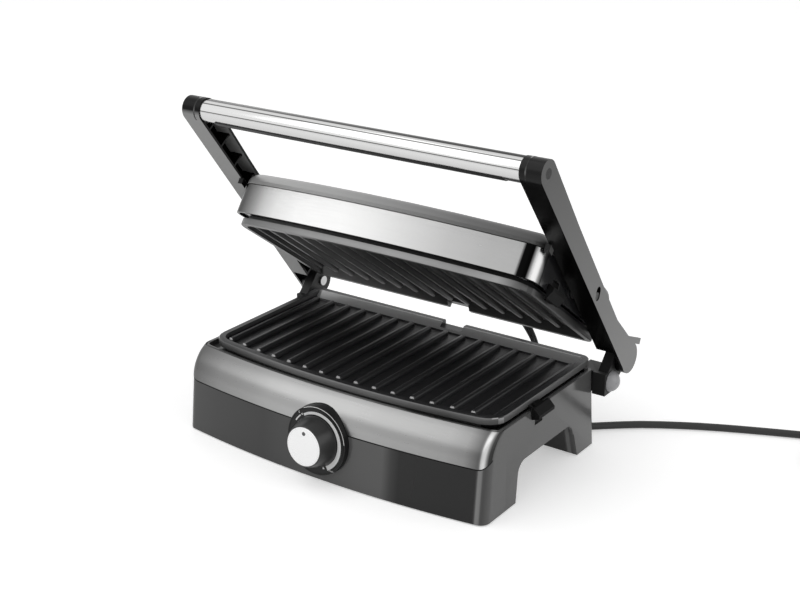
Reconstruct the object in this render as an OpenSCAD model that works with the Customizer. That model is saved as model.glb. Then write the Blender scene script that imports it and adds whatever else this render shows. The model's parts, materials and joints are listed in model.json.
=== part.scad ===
// Electric contact grill with a hinged lid, in millimetres.
// The base stands on the table, +Z is up, and the dial side faces -Y.
// Heights are from the table. Depths are from the line through the front corners of the base
// until place() moves them to the middle of the whole object.
// The lid and the arms are drawn closed and then turned open about the hinge.

/* [Base housing] */
// Width of the base at the table
base_w = 330; // [300:1:380]
// How much each side leans in at the top
side_lean = 1; // [0:0.5:4]
// Height of the front edge of the base
base_h = 78; // [74:0.5:84]
// Gap under the housing
foot_gap = 1.2; // [0.8:0.1:2]
// Depth of the base at the table
base_d = 190.5; // [186:0.5:194]
// How far the rear wall leans forward at the top
rear_lean = 7.5; // [0:0.5:10]
// How far the middle of the front stands ahead of its corners
front_bow = 12.8; // [8:0.1:16]
// How far the front leans back below the rounded nose
front_lean = 4.9; // [2:0.1:7]
// Height at which the front starts to round back
nose_z = 50; // [46:0.5:56]
// Radius of the rounded nose
nose_r = 30.6; // [30:0.1:36]
// Wall thickness of the housing
base_wall = 3; // [2.4:0.1:4]
// Radius of the upright corners
corner_r = 9; // [6:0.5:14]
// Radius of the upright corners at the rear
rear_corner_r = 4; // [3:0.5:9]
// Height of the arches in the sides
arch_top = 37.5; // [30:0.5:42]
// Rear edge of the front foot at the table
arch_front = 49.6; // [44:0.1:56]
// Length of a rear foot at the table
leg_l = 31.5; // [26:0.5:40]
// How much each end of an arch leans in at its top
arch_lean = 8; // [4:0.5:14]
// Radius of the upper corners of an arch
arch_r = 12; // [6:0.5:16]
// Width of a rear foot
leg_w = 36; // [30:0.5:44]
// Radius of a rear foot's inner corner
leg_r = 10; // [6:0.5:12]
// Thickness of the deck that carries the plate
deck_t = 2.5; // [2:0.1:3]

/* [Front trim] */
// Thickness of the trim
trim_t = 1.2; // [0.8:0.1:1.6]
// Radius of the trim's lower corners
trim_corner = 12; // [6:0.5:20]

/* [Dial] */
// Height of the dial's middle
dial_z = 39; // [37:0.5:41]
// How far the dial's face stands ahead of the corner line
dial_lead = 14.5; // [12:0.1:18]
// Upward tilt of the dial
dial_tilt = 5; // [0:0.5:8]
// Radius of the dial boss
boss_r = 31.5; // [28:0.1:33]
// Depth of the dial boss
boss_depth = 13; // [11:0.5:16]
// Radius of the knob at its base
knob_r = 23.4; // [20:0.1:25]
// Radius of the knob at its face
knob_face_r = 18.6; // [15:0.1:20]
// Length of the knob
knob_len = 17.6; // [14:0.1:20]
// Radius of the control shaft
shaft_r = 3; // [2.5:0.05:4]
// Radius of the pointer dot
dot_r = 1.3; // [0.8:0.1:1.6]
// Distance of the pointer dot from the knob's axis
dot_at = 12; // [8:0.5:14]

/* [Grill plates] */
// How far the lower plate stays inside each side of the base
plate_side = 7.5; // [6:0.5:14]
// How far the lower plate passes over the base's rear
plate_over = 3; // [1:0.1:4]
// Corner line of the lower plate
plate_y = 29.2; // [28:0.1:32]
// How far the plate's front bows out
plate_bow = 13.7; // [10:0.1:15]
// How far the upper plate stays inside each side of the lid
upper_side_gap = 4.5; // [3:0.5:10]
// How far the upper plate ends short of the lid's rear
upper_rear_gap = 2.5; // [2:0.1:5]
// How far the upper plate's front bows out
upper_bow = 11.5; // [9:0.1:13]
// Radius of a plate's front corners
plate_r = 20; // [14:0.5:26]
// Radius of a plate's rear corners
plate_rear_r = 9; // [6:0.5:20]
// Height of a rim's outer wall
rim_h = 5.9; // [5:0.1:7]
// Width of a rim
rim_w = 6.3; // [5:0.1:8]
// Depth of the cooking floor under the rim
floor_depth = 7.4; // [6.6:0.1:8]
// Total depth of a plate
plate_t = 10.4; // [9.8:0.1:11]
// Ribs on a plate
rib_count = 16; // [12:2:16]
// Distance of the outer ribs from the sides of the plate
rib_side = 11.25; // [11:0.05:20]
// Half the width of a rib
rib_r = 2.7; // [2:0.1:3.5]
// How far a rib's top stays under the rim
rib_drop = 2.9; // [2:0.1:4]
// Distance of the ribs from the rim's outer edge in front
rib_lead = 14.1; // [12:0.1:18]
// Distance of the ribs from the rim's outer edge at the rear
rib_trail = 16.4; // [15:0.1:20]
// Left end of the drain notch
notch_x = -2; // [-10:0.5:2]
// Width of the drain notch
notch_w = 24; // [16:0.5:30]

/* [Heating] */
// Radius of the heating tube
heater_r = 3.3; // [3:0.1:4]
// Distance of the heater's rear leg from the upper plate's rear
heater_rear = 38; // [34:0.5:50]
// Where the heater's front leg lies
heater_y = 30; // [28:0.5:40]
// Half the length of the heater's legs
heater_x = 112; // [90:1:120]
// Depth of a reflector pan
pan_d = 8.6; // [8:0.1:9.2]
// Thickness of a reflector pan
pan_t = 0.8; // [0.6:0.1:1.2]
// How far a reflector pan stays inside the lower plate's sides
pan_side = 12.5; // [12:0.5:20]

/* [Hinge] */
// Distance of the hinge axis behind the base
hinge_back = 21; // [20:0.1:23]
// Height of the hinge axis
hinge_z = 83.5; // [83:0.1:86]
// How far the lid stands open
arm_open = 35.65; // [0:0.05:100]
// Radius of a hinge pin
pin_r = 3; // [2.5:0.05:4]
// Radius of the bracket's ear
ear_r = 14; // [10:0.5:15]
// Thickness of the bracket's ear
ear_t = 10; // [8:0.5:11]
// Height of the bracket's underside
bracket_z = 54.5; // [50:0.5:56]
// Height of the bracket block's top
bracket_top = 76; // [75.5:0.5:77]
// How far the bracket's block stands out behind the base
bracket_l = 14.5; // [13:0.5:16]
// Radius of the release button
button_r = 9.9; // [7:0.1:9.9]
// Distance of the button's axis behind the base
button_behind = 2.7; // [2.5:0.1:3.1]
// Height of the button's axis
button_z = 65.5; // [65:0.1:66]
// Travel of the release button
button_travel = 3; // [1:0.1:3]
// Distance of the loom's lower end from the middle
loom_x = 102; // [90:1:110]

/* [Arms] */
// How far the arms stand outside the base
arm_out = 21.3; // [21:0.1:27]
// Depth of the arms' channel section
arm_depth = 20.3; // [18:0.1:20.5]
// Thickness of the arms' walls
arm_t = 2.5; // [2:0.1:3]
// Slope of the arms when closed
arm_pitch = 17.35; // [16:0.05:19]
// Distance from the hinge to the handle
arm_l = 269.2; // [250:0.1:290]
// Lower edge of the arms, from the line through the hinge
arm_low = 13.4; // [12.5:0.1:14]
// Upper edge of the arms near the lid's pivot
arm_high = 6.6; // [5:0.1:8]
// Radius of the arms' hinge end
arm_end_r = 14.4; // [14:0.1:14.6]
// Length of the hook's tip past the hinge
hook_u = 2.3; // [0:0.1:3]
// Height of the hook's tip
hook_v = 24.6; // [22:0.1:25]
// Thickness of the hook
hook_t = 6; // [4:0.1:7]
// Offset of the handle from the line through the hinge
handle_v = 2.5; // [0:0.1:4]
// Radius of the handle tube
handle_r = 11; // [9:0.1:11.2]
// Wall of the handle tube
handle_t = 1.8; // [1:0.1:2.5]
// Length of a handle collar
collar_l = 4; // [3:0.5:8]
// Ribs across the channel, as distances from the hinge
arm_ribs = [60, 85, 142, 170, 198, 226, 250];

/* [Lid] */
// Corner line of the closed lid's plate
lid_y = 34.1; // [33:0.1:36]
// Gap between the closed plates
lid_gap = 0.4; // [0.3:0.05:2]
// How far the lid stays inside each side of the base
lid_side = 2.5; // [2:0.5:6]
// Distance of the lid's rear from the hinge axis
lid_rear_gap = 18.9; // [17:0.1:20]
// How far the lid's front stands ahead of the plate's
lid_lead = 3.5; // [2:0.1:5]
// Where the lid's wall starts, from the plate's face
band_low = 9.4; // [9:0.1:10]
// Where the lid's wall ends
band_high = 38; // [36:0.1:40]
// Thickness of the band
band_t = 1.8; // [1:0.1:2.2]
// How far the band reaches round the corners
band_wrap = 10; // [6:0.5:20]
// Seam between the band and the cover
seam = 0.6; // [0.3:0.1:1]
// Height of the cover above the lid's wall
dome_h = 16; // [12:0.1:20]
// Wall of the lid's shells
lid_wall = 2.6; // [2:0.1:3]
// Distance of the pivot shaft from the lid's corner line
pivot_s = 71.9; // [70:0.1:74]
// Distance of the pivot shaft from the plate's face
pivot_n = 24.6; // [23:0.1:26]
// Radius of the pivot shaft
pivot_r = 3.65; // [3:0.05:4]
// Clearance of the pivot shaft in the slots of the arms
slot_fit = 0.1; // [0.05:0.01:0.2]
// Travel of the pivot shaft in the slots
slot_travel = 5; // [3:0.1:6]
// Lean of the slots from square to the arm
slot_lean = 36; // [20:0.5:45]

/* [Plate levers] */
// Width of a plate lever
lever_w = 26; // [20:0.5:30]
// Where the lower lever starts
lever_y = 73; // [66:0.5:80]
// Where the upper lever starts, from the lid's corner line
upper_lever_s = 25; // [20:0.5:30]
// How far the lower lever stands out of the side
lever_out = 8; // [6:0.1:9]
// How far the upper lever stands out of the side
upper_lever_out = 6; // [4:0.1:7]
// Travel of a plate lever
lever_travel = 3; // [2:0.1:3]
// Radius of a lever's stem
stem_r = 2.2; // [1.6:0.1:2.6]

/* [Cord] */
// Radius of the cord
cord_r = 3.5; // [3:0.1:4]
// Turns of the put-away coil
coil_turns = 3.25; // [2.25:0.5:3.25]
// Radius of the coil's outer turn
coil_r = 43; // [40:0.5:50]
// Gap between the turns
coil_gap = 1; // [0.6:0.1:2]
// Length of the strain relief
relief_l = 22; // [20:0.5:40]

/* [Fits] */
// Running clearance of pins and shafts
run_fit = 0.05; // [0.02:0.01:0.1]
// Clearance between pieces that lie still
still_fit = 0.1; // [0.05:0.01:0.3]
// Clearance between pieces that move past each other
move_gap = 0.4; // [0.3:0.05:1]

/* [Hidden] */
$fn = 48;

// Steps along the front curve and round a corner of a lofted outline
front_steps = 6;
corner_steps = 5;

// Widths and depths that follow the base
plate_w = base_w - 2 * plate_side;
lid_w = base_w - 2 * lid_side;
upper_w = lid_w - 2 * upper_side_gap;
pan_w = plate_w - 2 * pan_side;
arm_x = base_w / 2 + arm_out;
arch_rear = base_d - leg_l;
hinge_y = base_d + hinge_back;
bracket_rear = base_d + bracket_l;
button_y = base_d + button_behind;
plate_l = base_d + plate_over - plate_y;
lid_l = hinge_y - lid_rear_gap - lid_y;
upper_l = lid_l - upper_rear_gap;
heater_span = upper_l - heater_y - heater_rear;

// Heights of the plates and the deck
rim_top = base_h + 6.4;
deck_z = rim_top - plate_t - pan_t;
lid_z = rim_top + lid_gap;
cover_z = arch_top;
cover_t = 2.4;

// Middle of the depth, which becomes y = 0
arm_rest = 180 - arm_pitch - arm_open;
hook_y = hinge_y - hook_u * cos(arm_rest) + hook_v * cos(arm_rest - 90);
knob_front = -dial_lead - knob_len * cos(dial_tilt) - knob_face_r * sin(dial_tilt);
mid_y = (hook_y + knob_front) / 2;

// Ends of the handle and of the pivot shaft
arm_in = arm_x - arm_depth;
handle_x = arm_in - collar_l;
pivot_x = arm_x - 0.6;

// --- Helpers -------------------------------------------------------------------------

module place() translate([0, -mid_y, 0]) children();

// Turns what is drawn closed to the resting angle of the lid
module opened() place() translate([0, hinge_y, hinge_z]) rotate([-arm_open, 0, 0])
    translate([0, -hinge_y, -hinge_z]) children();

// Frames of the two plates: x across, y from the corner line, z away from the cooking face
module lower_seat() place() translate([0, plate_y, rim_top]) mirror([0, 0, 1]) children();
module upper_seat() opened() translate([0, lid_y, lid_z]) children();

// Frame of the dial: z out of the face
module dial_seat() place() translate([0, -dial_lead, dial_z]) rotate([90 - dial_tilt, 0, 0])
    children();

// Frame of the closed arms: extrudes a shape in (along, up) from x0 to x1
module arm_slab(x0, x1) opened() translate([x1, hinge_y, hinge_z]) rotate([90, 0, -90])
    linear_extrude(x1 - x0) rotate(arm_pitch) children();

// Extrudes a side profile in (y, z) from x0 to x1
module across(x0, x1) translate([x0, 0, 0]) rotate([90, 0, 90]) linear_extrude(x1 - x0)
    children();

module block(x0, x1, y0, y1, z0, z1) translate([x0, y0, z0]) cube([x1 - x0, y1 - y0, z1 - z0]);
module rod_x(x0, x1, y, z, r) translate([x0, y, z]) rotate([0, 90, 0]) cylinder(h = x1 - x0, r = r);
module rod_z(x, y, z0, z1, r) translate([x, y, z0]) cylinder(h = z1 - z0, r = r);
module both_sides() {
    children();
    mirror([1, 0, 0]) children();
}

// A rectangle with round corners, made of squares and circles
module round_rect(x0, x1, y0, y1, r) {
    translate([x0 + r, y0]) square([x1 - x0 - 2 * r, y1 - y0]);
    translate([x0, y0 + r]) square([x1 - x0, y1 - y0 - 2 * r]);
    for (x = [x0 + r, x1 - r], y = [y0 + r, y1 - r]) translate([x, y]) circle(r);
}

// One half of an outline with a bowed front: [half width, front, bow, rear, front r, rear r]
function half_outline(w, yf, bow, yr, rf, rr) =
    let (slope = atan(2 * bow * (w - rf) / (w * w)),
        xt = w - rf + rf * sin(slope),
        cy = yf + bow * pow(xt / w, 2) + rf * cos(slope))
    concat(
        [for (i = [0 : front_steps - 1]) let (x = xt * i / front_steps)
            [x, yf + bow * pow(x / w, 2)]],
        [for (i = [0 : corner_steps]) let (a = slope - 90 + (90 - slope) * i / corner_steps)
            [w - rf + rf * cos(a), cy + rf * sin(a)]],
        [for (i = [0 : corner_steps]) let (a = 90 * i / corner_steps)
            [w - rr + rr * cos(a), yr - rr + rr * sin(a)]]);
function outline(v) = let (h = half_outline(v[1], v[2], v[3], v[4], v[5], v[6]))
    concat(h, [for (i = [len(h) - 1 : -1 : 1]) [-h[i][0], h[i][1]]]);

// Stacks outlines [z, half width, front, bow, rear, front r, rear r] into one solid
module loft(levels) stack([for (v = levels) [for (p = outline(v)) [p[0], p[1], v[0]]]]);
module stack(rings) {
    n = len(rings[0]);
    top = (len(rings) - 1) * n;
    polyhedron(
        points = [for (ring = rings) each ring],
        faces = concat(
            [[for (i = [0 : n - 1]) i]],
            [[for (i = [n - 1 : -1 : 0]) top + i]],
            [for (k = [0 : len(rings) - 2], i = [0 : n - 1]) let (j = (i + 1) % n)
                [k * n + i, (k + 1) * n + i, (k + 1) * n + j]],
            [for (k = [0 : len(rings) - 2], i = [0 : n - 1]) let (j = (i + 1) % n)
                [k * n + i, (k + 1) * n + j, k * n + j]]));
}

// A tube along points, as one solid
function unit(v) = v / norm(v);
function tangent(p, i) = unit(p[min(i + 1, len(p) - 1)] - p[max(i - 1, 0)]);
function tube_ring(c, t, r, n, up) = let (s = unit(cross(t, up)), u = cross(s, t))
    [for (k = [0 : n - 1]) c + r * (cos(360 * (k + 0.5) / n) * s + sin(360 * (k + 0.5) / n) * u)];
module tube(p, r, n = 8, up = [0, 0, 1]) {
    last = (len(p) - 1) * n;
    polyhedron(
        points = [for (i = [0 : len(p) - 1]) each tube_ring(p[i], tangent(p, i), r, n, up)],
        faces = concat(
            [[for (k = [n - 1 : -1 : 0]) k]],
            [[for (k = [0 : n - 1]) last + k]],
            [for (i = [0 : len(p) - 2], k = [0 : n - 1]) let (m = (k + 1) % n)
                [i * n + k, i * n + m, (i + 1) * n + m]],
            [for (i = [0 : len(p) - 2], k = [0 : n - 1]) let (m = (k + 1) % n)
                [i * n + k, (i + 1) * n + m, (i + 1) * n + k]]));
}

// A compression spring along x from x0 to x1
spring_wire = 0.5;
spring_turns = 5;
spring_steps = 10;
function spring_points(len, r) = [for (i = [0 : spring_turns * spring_steps])
    let (a = 360 * i / spring_steps, t = i / (spring_turns * spring_steps))
    [r * cos(a), r * sin(a), spring_wire + (len - 2 * spring_wire) * t]];
module spring_x(x0, x1, y, z, r) translate([x0, y, z]) rotate([0, 90, 0])
    tube(spring_points(x1 - x0, r), spring_wire, 6);

// --- Base housing --------------------------------------------------------------------

nose_front = front_lean - front_bow;
function base_front(z) = z <= nose_z
    ? front_lean * z / nose_z - front_bow
    : nose_front + nose_r - sqrt(nose_r * nose_r - pow(min(z, base_h) - nose_z, 2));
function base_half(z) = base_w / 2 - side_lean * z / base_h;
function base_rear(z) = base_d - rear_lean * z / base_h;
function base_level(z, inset) = [z, base_half(z) - inset, base_front(z) + inset, front_bow,
    base_rear(z) - inset, max(corner_r - inset, 1), max(rear_corner_r - inset, 1)];
nose_steps = 5;
function base_heights(z0, z1) = concat([z0],
    [for (i = [0 : nose_steps]) let (z = nose_z + (base_h - nose_z) * i / nose_steps)
        if (z > z0 + 1 && z < z1 - 1) z], [z1]);
module base_shape(inset, z0, z1) loft([for (z = base_heights(z0, z1)) base_level(z, inset)]);

// Front view of the trim, with round lower corners
module trim_front(gap) translate([0, plate_y + 4, 0]) rotate([90, 0, 0])
    linear_extrude(plate_y + 4 + front_bow + 8)
        round_rect(-base_w / 2 - gap, base_w / 2 + gap, nose_z - gap, base_h + 2 * trim_corner,
            trim_corner);

module dial_hole(gap) translate([0, -dial_lead, dial_z]) rotate([90 - dial_tilt, 0, 0])
    translate([0, 0, -boss_depth - gap]) cylinder(h = boss_depth + 20, r = boss_r + gap, $fn = 96);

// Side arch, from the table up
module arch_profile() {
    front = arch_front;
    rear = arch_rear;
    polygon([[front, -5], [rear, -5], [rear, 0],
        [rear - arch_lean, arch_top - arch_r],
        for (a = [0 : 15 : 90]) [rear - arch_lean - 2 - arch_r + arch_r * cos(a),
            arch_top - arch_r + arch_r * sin(a)],
        for (a = [90 : 15 : 180]) [front + 3 + arch_r + arch_r * cos(a),
            arch_top - arch_r + arch_r * sin(a)],
        [front, 0]]);
}

// Screw posts under the deck: [x, y, bottom]
post_r = 4.5;
rear_post_z = 60;
side_post = [base_w / 2 - 13, 64];
rear_post = [base_w / 2 - 47, base_d - 16.5];
front_post = [base_w / 2 - 53, 14];
cover_posts = [for (p = [[side_post, cover_z], [rear_post, cover_z], [front_post, foot_gap]],
    side = [-1, 1]) [side * p[0][0], p[0][1], p[1] + cover_t]];
screw_r = 1.7;
screw_head_r = 3.3;
screw_head_h = 1.8;
screw_bite = 9;

pan_front = 12;
pan_rear = 18;
pan_corner = 8;
flange_w = 4.5;

leg_in = base_w / 2 - leg_w;
lip_x = base_w / 2 - 8;
lip_back = 20;
lever_slot = lever_w + 1;
stem_z = 66;
guide_x = base_w / 2 - 9;

module leg() {
    difference() {
        intersection() {
            base_shape(0, foot_gap, arch_top);
            across(leg_in, base_w / 2 + 1) polygon([[arch_rear - arch_lean - 2, arch_top],
                [arch_rear - arch_lean, arch_top - arch_r], [arch_rear, 0], [base_d + 5, 0],
                [base_d + 5, arch_top]]);
        }
        translate([0, 0, foot_gap + cover_t]) linear_extrude(arch_top)
            round_rect(leg_in + 2.4, base_half(arch_top) - base_wall, arch_rear + 2.4,
                base_rear(arch_top) - base_wall, leg_r - 2.4);
        difference() {
            block(leg_in - 1, leg_in + leg_r, base_rear(0) - leg_r - 3, base_rear(0) + 1, 0, base_h);
            rod_z(leg_in + leg_r, base_rear(arch_top) - leg_r, -1, base_h + 1, leg_r);
        }
        foot_peg_hole(foot_spots[0]);
    }
}

module base_housing() color([0.16, 0.16, 0.17]) place() {
    difference() {
        union() {
            difference() {
                base_shape(0, foot_gap, base_h);
                base_shape(base_wall, foot_gap - 3, deck_z - deck_t);
                base_shape(base_wall, deck_z, base_h + 2);
                across(-base_w, base_w) arch_profile();
                block(-leg_in, leg_in, arch_rear, base_d + 5, -1, arch_top);
                block(-leg_in - leg_r, leg_in + leg_r, base_rear(0) - leg_r - 3, base_d + 5,
                    -1, arch_top);
                // The plate passes over the rear wall
                block(-lip_x, lip_x, base_d - lip_back, base_d, deck_z, base_h + 2);
            }
            both_sides() leg();
            for (p = cover_posts) {
                rear = p[1] > base_d / 2;
                rod_z(p[0], p[1], p[2], rear ? rear_post_z : deck_z - deck_t + 0.5, post_r);
                if (rear) block(p[0] - 2, p[0] + 2, p[1], base_rear(rear_post_z) - 0.5, p[2],
                    rear_post_z);
            }
            // Guide of the plate lever's stem
            block(guide_x, guide_x + 3.5, lever_y + lever_w / 2 - 8, lever_y + lever_w / 2 + 8,
                stem_z - 6, deck_z - deck_t + 0.5);
        }
        translate([0, plate_y, deck_z - deck_t - 1]) linear_extrude(deck_t + 3)
            round_rect(-pan_w / 2 - still_fit, pan_w / 2 + still_fit, pan_front - still_fit,
                plate_l - pan_rear + still_fit, pan_corner);
        intersection() {
            difference() {
                base_shape(-2, nose_z - 2, base_h + 2);
                base_shape(trim_t + still_fit, nose_z - 3, base_h + 3);
            }
            trim_front(still_fit);
        }
        dial_hole(still_fit);
        block(base_w / 2 - 8, base_w / 2 + 2, lever_y - 0.5, lever_y - 0.5 + lever_slot,
            rim_top - lower_depth + 3.4, base_h + 2);
        block(base_w / 2 - 5, base_w / 2 + 2, lever_y + lever_w / 2 - lever_catch / 2 - 0.5,
            lever_y + lever_w / 2 + lever_catch / 2 + 0.5, stem_z - 3.4, base_h + 2);
        rod_x(guide_x - 1, guide_x + 5, lever_y + lever_w / 2, stem_z, stem_r + still_fit);
        loom_seat() translate([0, 0, -8]) cylinder(h = 12, r = bush_hole);
        for (p = cover_posts) rod_z(p[0], p[1], p[2] - 1, p[2] + screw_bite, screw_r + 0.03);
        both_sides() for (z = bracket_screw_z) translate([bracket_screw_x, base_rear(z) + 2, z])
            rotate([90, 0, 0]) cylinder(h = 12, r = screw_r + 0.03);
    }
}

module front_trim() color([0.62, 0.62, 0.63]) place() difference() {
    intersection() {
        base_shape(0, nose_z - 1, base_h);
        trim_front(0);
    }
    base_shape(trim_t, nose_z - 3, base_h + 3);
    dial_hole(move_gap);
}

// --- Underside -----------------------------------------------------------------------

foot_r = 8;
peg_r = 2.5;
foot_spots = [[base_w / 2 - 18, base_d - 18.5], [base_w / 2 - 19, 14]];
module foot_peg_hole(p) rod_z(p[0], p[1], 0, 8, peg_r + still_fit);

module bottom_cover() color([0.2, 0.2, 0.2]) place() difference() {
    intersection() {
        base_shape(base_wall + still_fit, foot_gap - 0.1, cover_z + cover_t);
        across(-base_w / 2, base_w / 2) polygon([[-front_bow, foot_gap],
            [arch_front - 0.6, foot_gap], [arch_front + 2.4, cover_z], [base_d, cover_z],
            [base_d, cover_z + cover_t], [arch_front, cover_z + cover_t],
            [arch_front - 3, foot_gap + cover_t], [-front_bow, foot_gap + cover_t]]);
    }
    for (p = cover_posts) rod_z(p[0], p[1], p[2] - cover_t - 1, p[2] + 1, screw_r + still_fit);
    both_sides() foot_peg_hole(foot_spots[1]);
    wire_way();
}

module rubber_feet() color([0.08, 0.08, 0.08]) place() both_sides() for (p = foot_spots) {
    rod_z(p[0], p[1], 0, foot_gap, foot_r);
    rod_z(p[0], p[1], foot_gap - 0.2, foot_gap + cover_t + 1.5, peg_r);
}

module bottom_screws() color([0.6, 0.6, 0.6]) place() for (p = cover_posts) {
    z = p[2] - cover_t;
    low = z > 10 ? z - screw_head_h : z - foot_gap + 0.1;
    rod_z(p[0], p[1], low, z, screw_head_r);
    rod_z(p[0], p[1], z - 0.1, p[2] + screw_bite - 0.5, screw_r);
}

// --- Plates and heating, drawn once for both seats -----------------------------------

function plate_level(z, w, len, bow, inset, rear_inset = -1) =
    let (rear = rear_inset < 0 ? inset : rear_inset)
    [z, w / 2 - inset, inset - bow, bow, len - rear, max(plate_r - inset, 3),
        max(plate_rear_r - inset, 3)];
rim_bevel = 0.7;
// How far the plate's underside stays ahead of its rear edge
rear_shelf = 10;
module grill_plate(w, len, bow, x0) {
    difference() {
        loft([plate_level(0, w, len, bow, rim_bevel), plate_level(rim_bevel, w, len, bow, 0),
            plate_level(rim_h, w, len, bow, 0), plate_level(rim_h + 0.3, w, len, bow, 4, rear_shelf),
            plate_level(plate_t, w, len, bow, 4.6, rear_shelf + 0.6)]);
        loft([plate_level(-1, w, len, bow, rim_w - 0.8), plate_level(0.8, w, len, bow, rim_w),
            plate_level(floor_depth - 1.4, w, len, bow, rim_w + 1, rear_shelf + 3.2),
            plate_level(floor_depth, w, len, bow, rim_w + 3.4, rear_shelf + 4.4)]);
        block(x0, x0 + notch_w, len - rim_w - 5, len + 1, -1, floor_depth - 3);
    }
    for (i = [0 : rib_count - 1]) {
        x = (i / (rib_count - 1) - 0.5) * (w - 2 * rib_side);
        y0 = bow * pow(2 * x / w, 2) - bow + rib_lead + rib_r;
        rib(x, y0, len - rib_trail - rib_r);
    }
}
// A rib with round ends and a rounded top: [depth, half width]
rib_levels = [[0, 1.5], [0.5, 0.6], [1.7, 0], [floor_depth - rib_drop + 0.4, -0.3]];
function rib_ring(x, y0, y1, r, z) = concat(
    [for (a = [180 : 30 : 360]) [x + r * cos(a), y0 + r * sin(a), z]],
    [for (a = [0 : 30 : 180]) [x + r * cos(a), y1 + r * sin(a), z]]);
module rib(x, y0, y1) stack([for (v = rib_levels)
    rib_ring(x, y0, y1, rib_r - v[1], rib_drop + v[0])]);

// The edge of the lower plate that its lever holds
tab_x = plate_w / 2 + 4;
module lower_grill_plate() color([0.2, 0.2, 0.2]) lower_seat() {
    grill_plate(plate_w, plate_l, plate_bow, notch_x);
    y = lever_y + lever_w / 2 - plate_y;
    block(plate_w / 2 - 3, tab_x, y - 7, y + 7, rim_h - 1.6, rim_h);
}
upper_tab_x = upper_w / 2 + 3;
module upper_grill_plate() color([0.2, 0.2, 0.2]) upper_seat() {
    grill_plate(upper_w, upper_l, upper_bow, notch_x + 4);
    y = upper_lever_s + lever_w / 2;
    block(upper_w / 2 - 3, upper_tab_x, y - 7, y + 7, rim_h - 1.6, rim_h);
}

heater_z = plate_t + heater_r + still_fit;
terminal_bend = 8;
module heater() {
    r = heater_span / 2;
    x0 = r - heater_x;
    for (y = [heater_y, heater_y + heater_span]) {
        rod_x(x0, heater_x, y, heater_z, heater_r);
        translate([heater_x, y, heater_z + terminal_bend]) rotate([90, 0, 0]) rotate(-90)
            rotate_extrude(angle = 90) translate([terminal_bend, 0]) circle(heater_r, $fn = 24);
        rod_z(heater_x + terminal_bend, y, heater_z + terminal_bend,
            heater_z + terminal_bend + 7, heater_r);
    }
    translate([x0, heater_y + r, heater_z]) rotate(90) rotate_extrude(angle = 180)
        translate([r, 0]) circle(heater_r, $fn = 24);
}
module lower_heating_element() color([0.45, 0.44, 0.42]) lower_seat() heater();
module upper_heating_element() color([0.45, 0.44, 0.42]) upper_seat() heater();

pan_floor = plate_t + pan_d;
module pan(len) difference() {
    union() {
        translate([0, 0, plate_t]) linear_extrude(pan_t) round_rect(-pan_w / 2 - flange_w,
            pan_w / 2 + flange_w, pan_front - flange_w, len - pan_rear + flange_w, pan_corner);
        translate([0, 0, plate_t]) linear_extrude(pan_d + pan_t) round_rect(-pan_w / 2, pan_w / 2,
            pan_front, len - pan_rear, pan_corner);
    }
    translate([0, 0, plate_t - 1]) linear_extrude(pan_d + 1) round_rect(-pan_w / 2 + pan_t,
        pan_w / 2 - pan_t, pan_front + pan_t, len - pan_rear - pan_t, pan_corner - pan_t);
    for (y = [heater_y, heater_y + heater_span])
        rod_z(heater_x + terminal_bend, y, pan_floor - 1, pan_floor + 3, heater_r + 1);
}
module lower_reflector() color([0.7, 0.7, 0.7]) lower_seat() pan(plate_l);
module upper_reflector() color([0.7, 0.7, 0.7]) upper_seat() pan(upper_l);

clip_w = 10;
clip_l = 12;
module clips() for (x = [-40, 70], y = [heater_y, heater_y + heater_span]) difference() {
    block(x - clip_l / 2, x + clip_l / 2, y - clip_w / 2, y + clip_w / 2, heater_z, pan_floor);
    rod_x(x - clip_l, x + clip_l, y, heater_z, heater_r + 0.05);
}
module lower_element_clips() color([0.6, 0.6, 0.6]) lower_seat() clips();
module upper_element_clips() color([0.6, 0.6, 0.6]) upper_seat() clips();

fuse_r = 3.2;
fuse_y = heater_y + heater_span - 20;
module fuse() {
    z = pan_floor + pan_t;
    rod_x(20, 44, fuse_y, z + fuse_r, fuse_r);
    block(24, 40, fuse_y - fuse_r, fuse_y + fuse_r, z, z + fuse_r);
}
module thermal_fuse() color([0.85, 0.82, 0.7]) lower_seat() fuse();
module upper_thermal_fuse() color([0.85, 0.82, 0.7]) upper_seat() fuse();

// --- Dial, thermostat and knob -------------------------------------------------------

boss_wall = 2.4;
scale_t = 0.8;
module dial_boss() color([0.15, 0.15, 0.16]) dial_seat() difference() {
    translate([0, 0, -boss_depth]) cylinder(h = boss_depth, r = boss_r, $fn = 96);
    translate([0, 0, -boss_depth - 1]) cylinder(h = boss_depth - 2, r = boss_r - boss_wall, $fn = 96);
    translate([0, 0, -scale_t]) cylinder(h = 2, r = boss_r - 1.6, $fn = 96);
    translate([0, 0, -6]) cylinder(h = 8, r = bush_r + 0.6);
}
module dial_scale() color([0.12, 0.12, 0.12]) dial_seat() translate([0, 0, -scale_t]) difference() {
    cylinder(h = scale_t - 0.1, r = boss_r - 1.7, $fn = 96);
    translate([0, 0, -1]) cylinder(h = 3, r = bush_r + 0.6);
}
bush_r = 5;
bracket_plate_z = -8.5;
bracket_plate_t = 1.5;
module thermostat_bracket() color([0.66, 0.66, 0.66]) dial_seat()
    translate([0, 0, bracket_plate_z]) difference() {
        cylinder(h = bracket_plate_t, r = boss_r - boss_wall - still_fit, $fn = 96);
        translate([0, 0, -1]) cylinder(h = 4, r = bush_r + still_fit);
        for (x = [-18, 18]) translate([x, 0, -1]) cylinder(h = 4, r = 5);
    }
thermostat_h = 17;
thermostat_w = 30;
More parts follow.
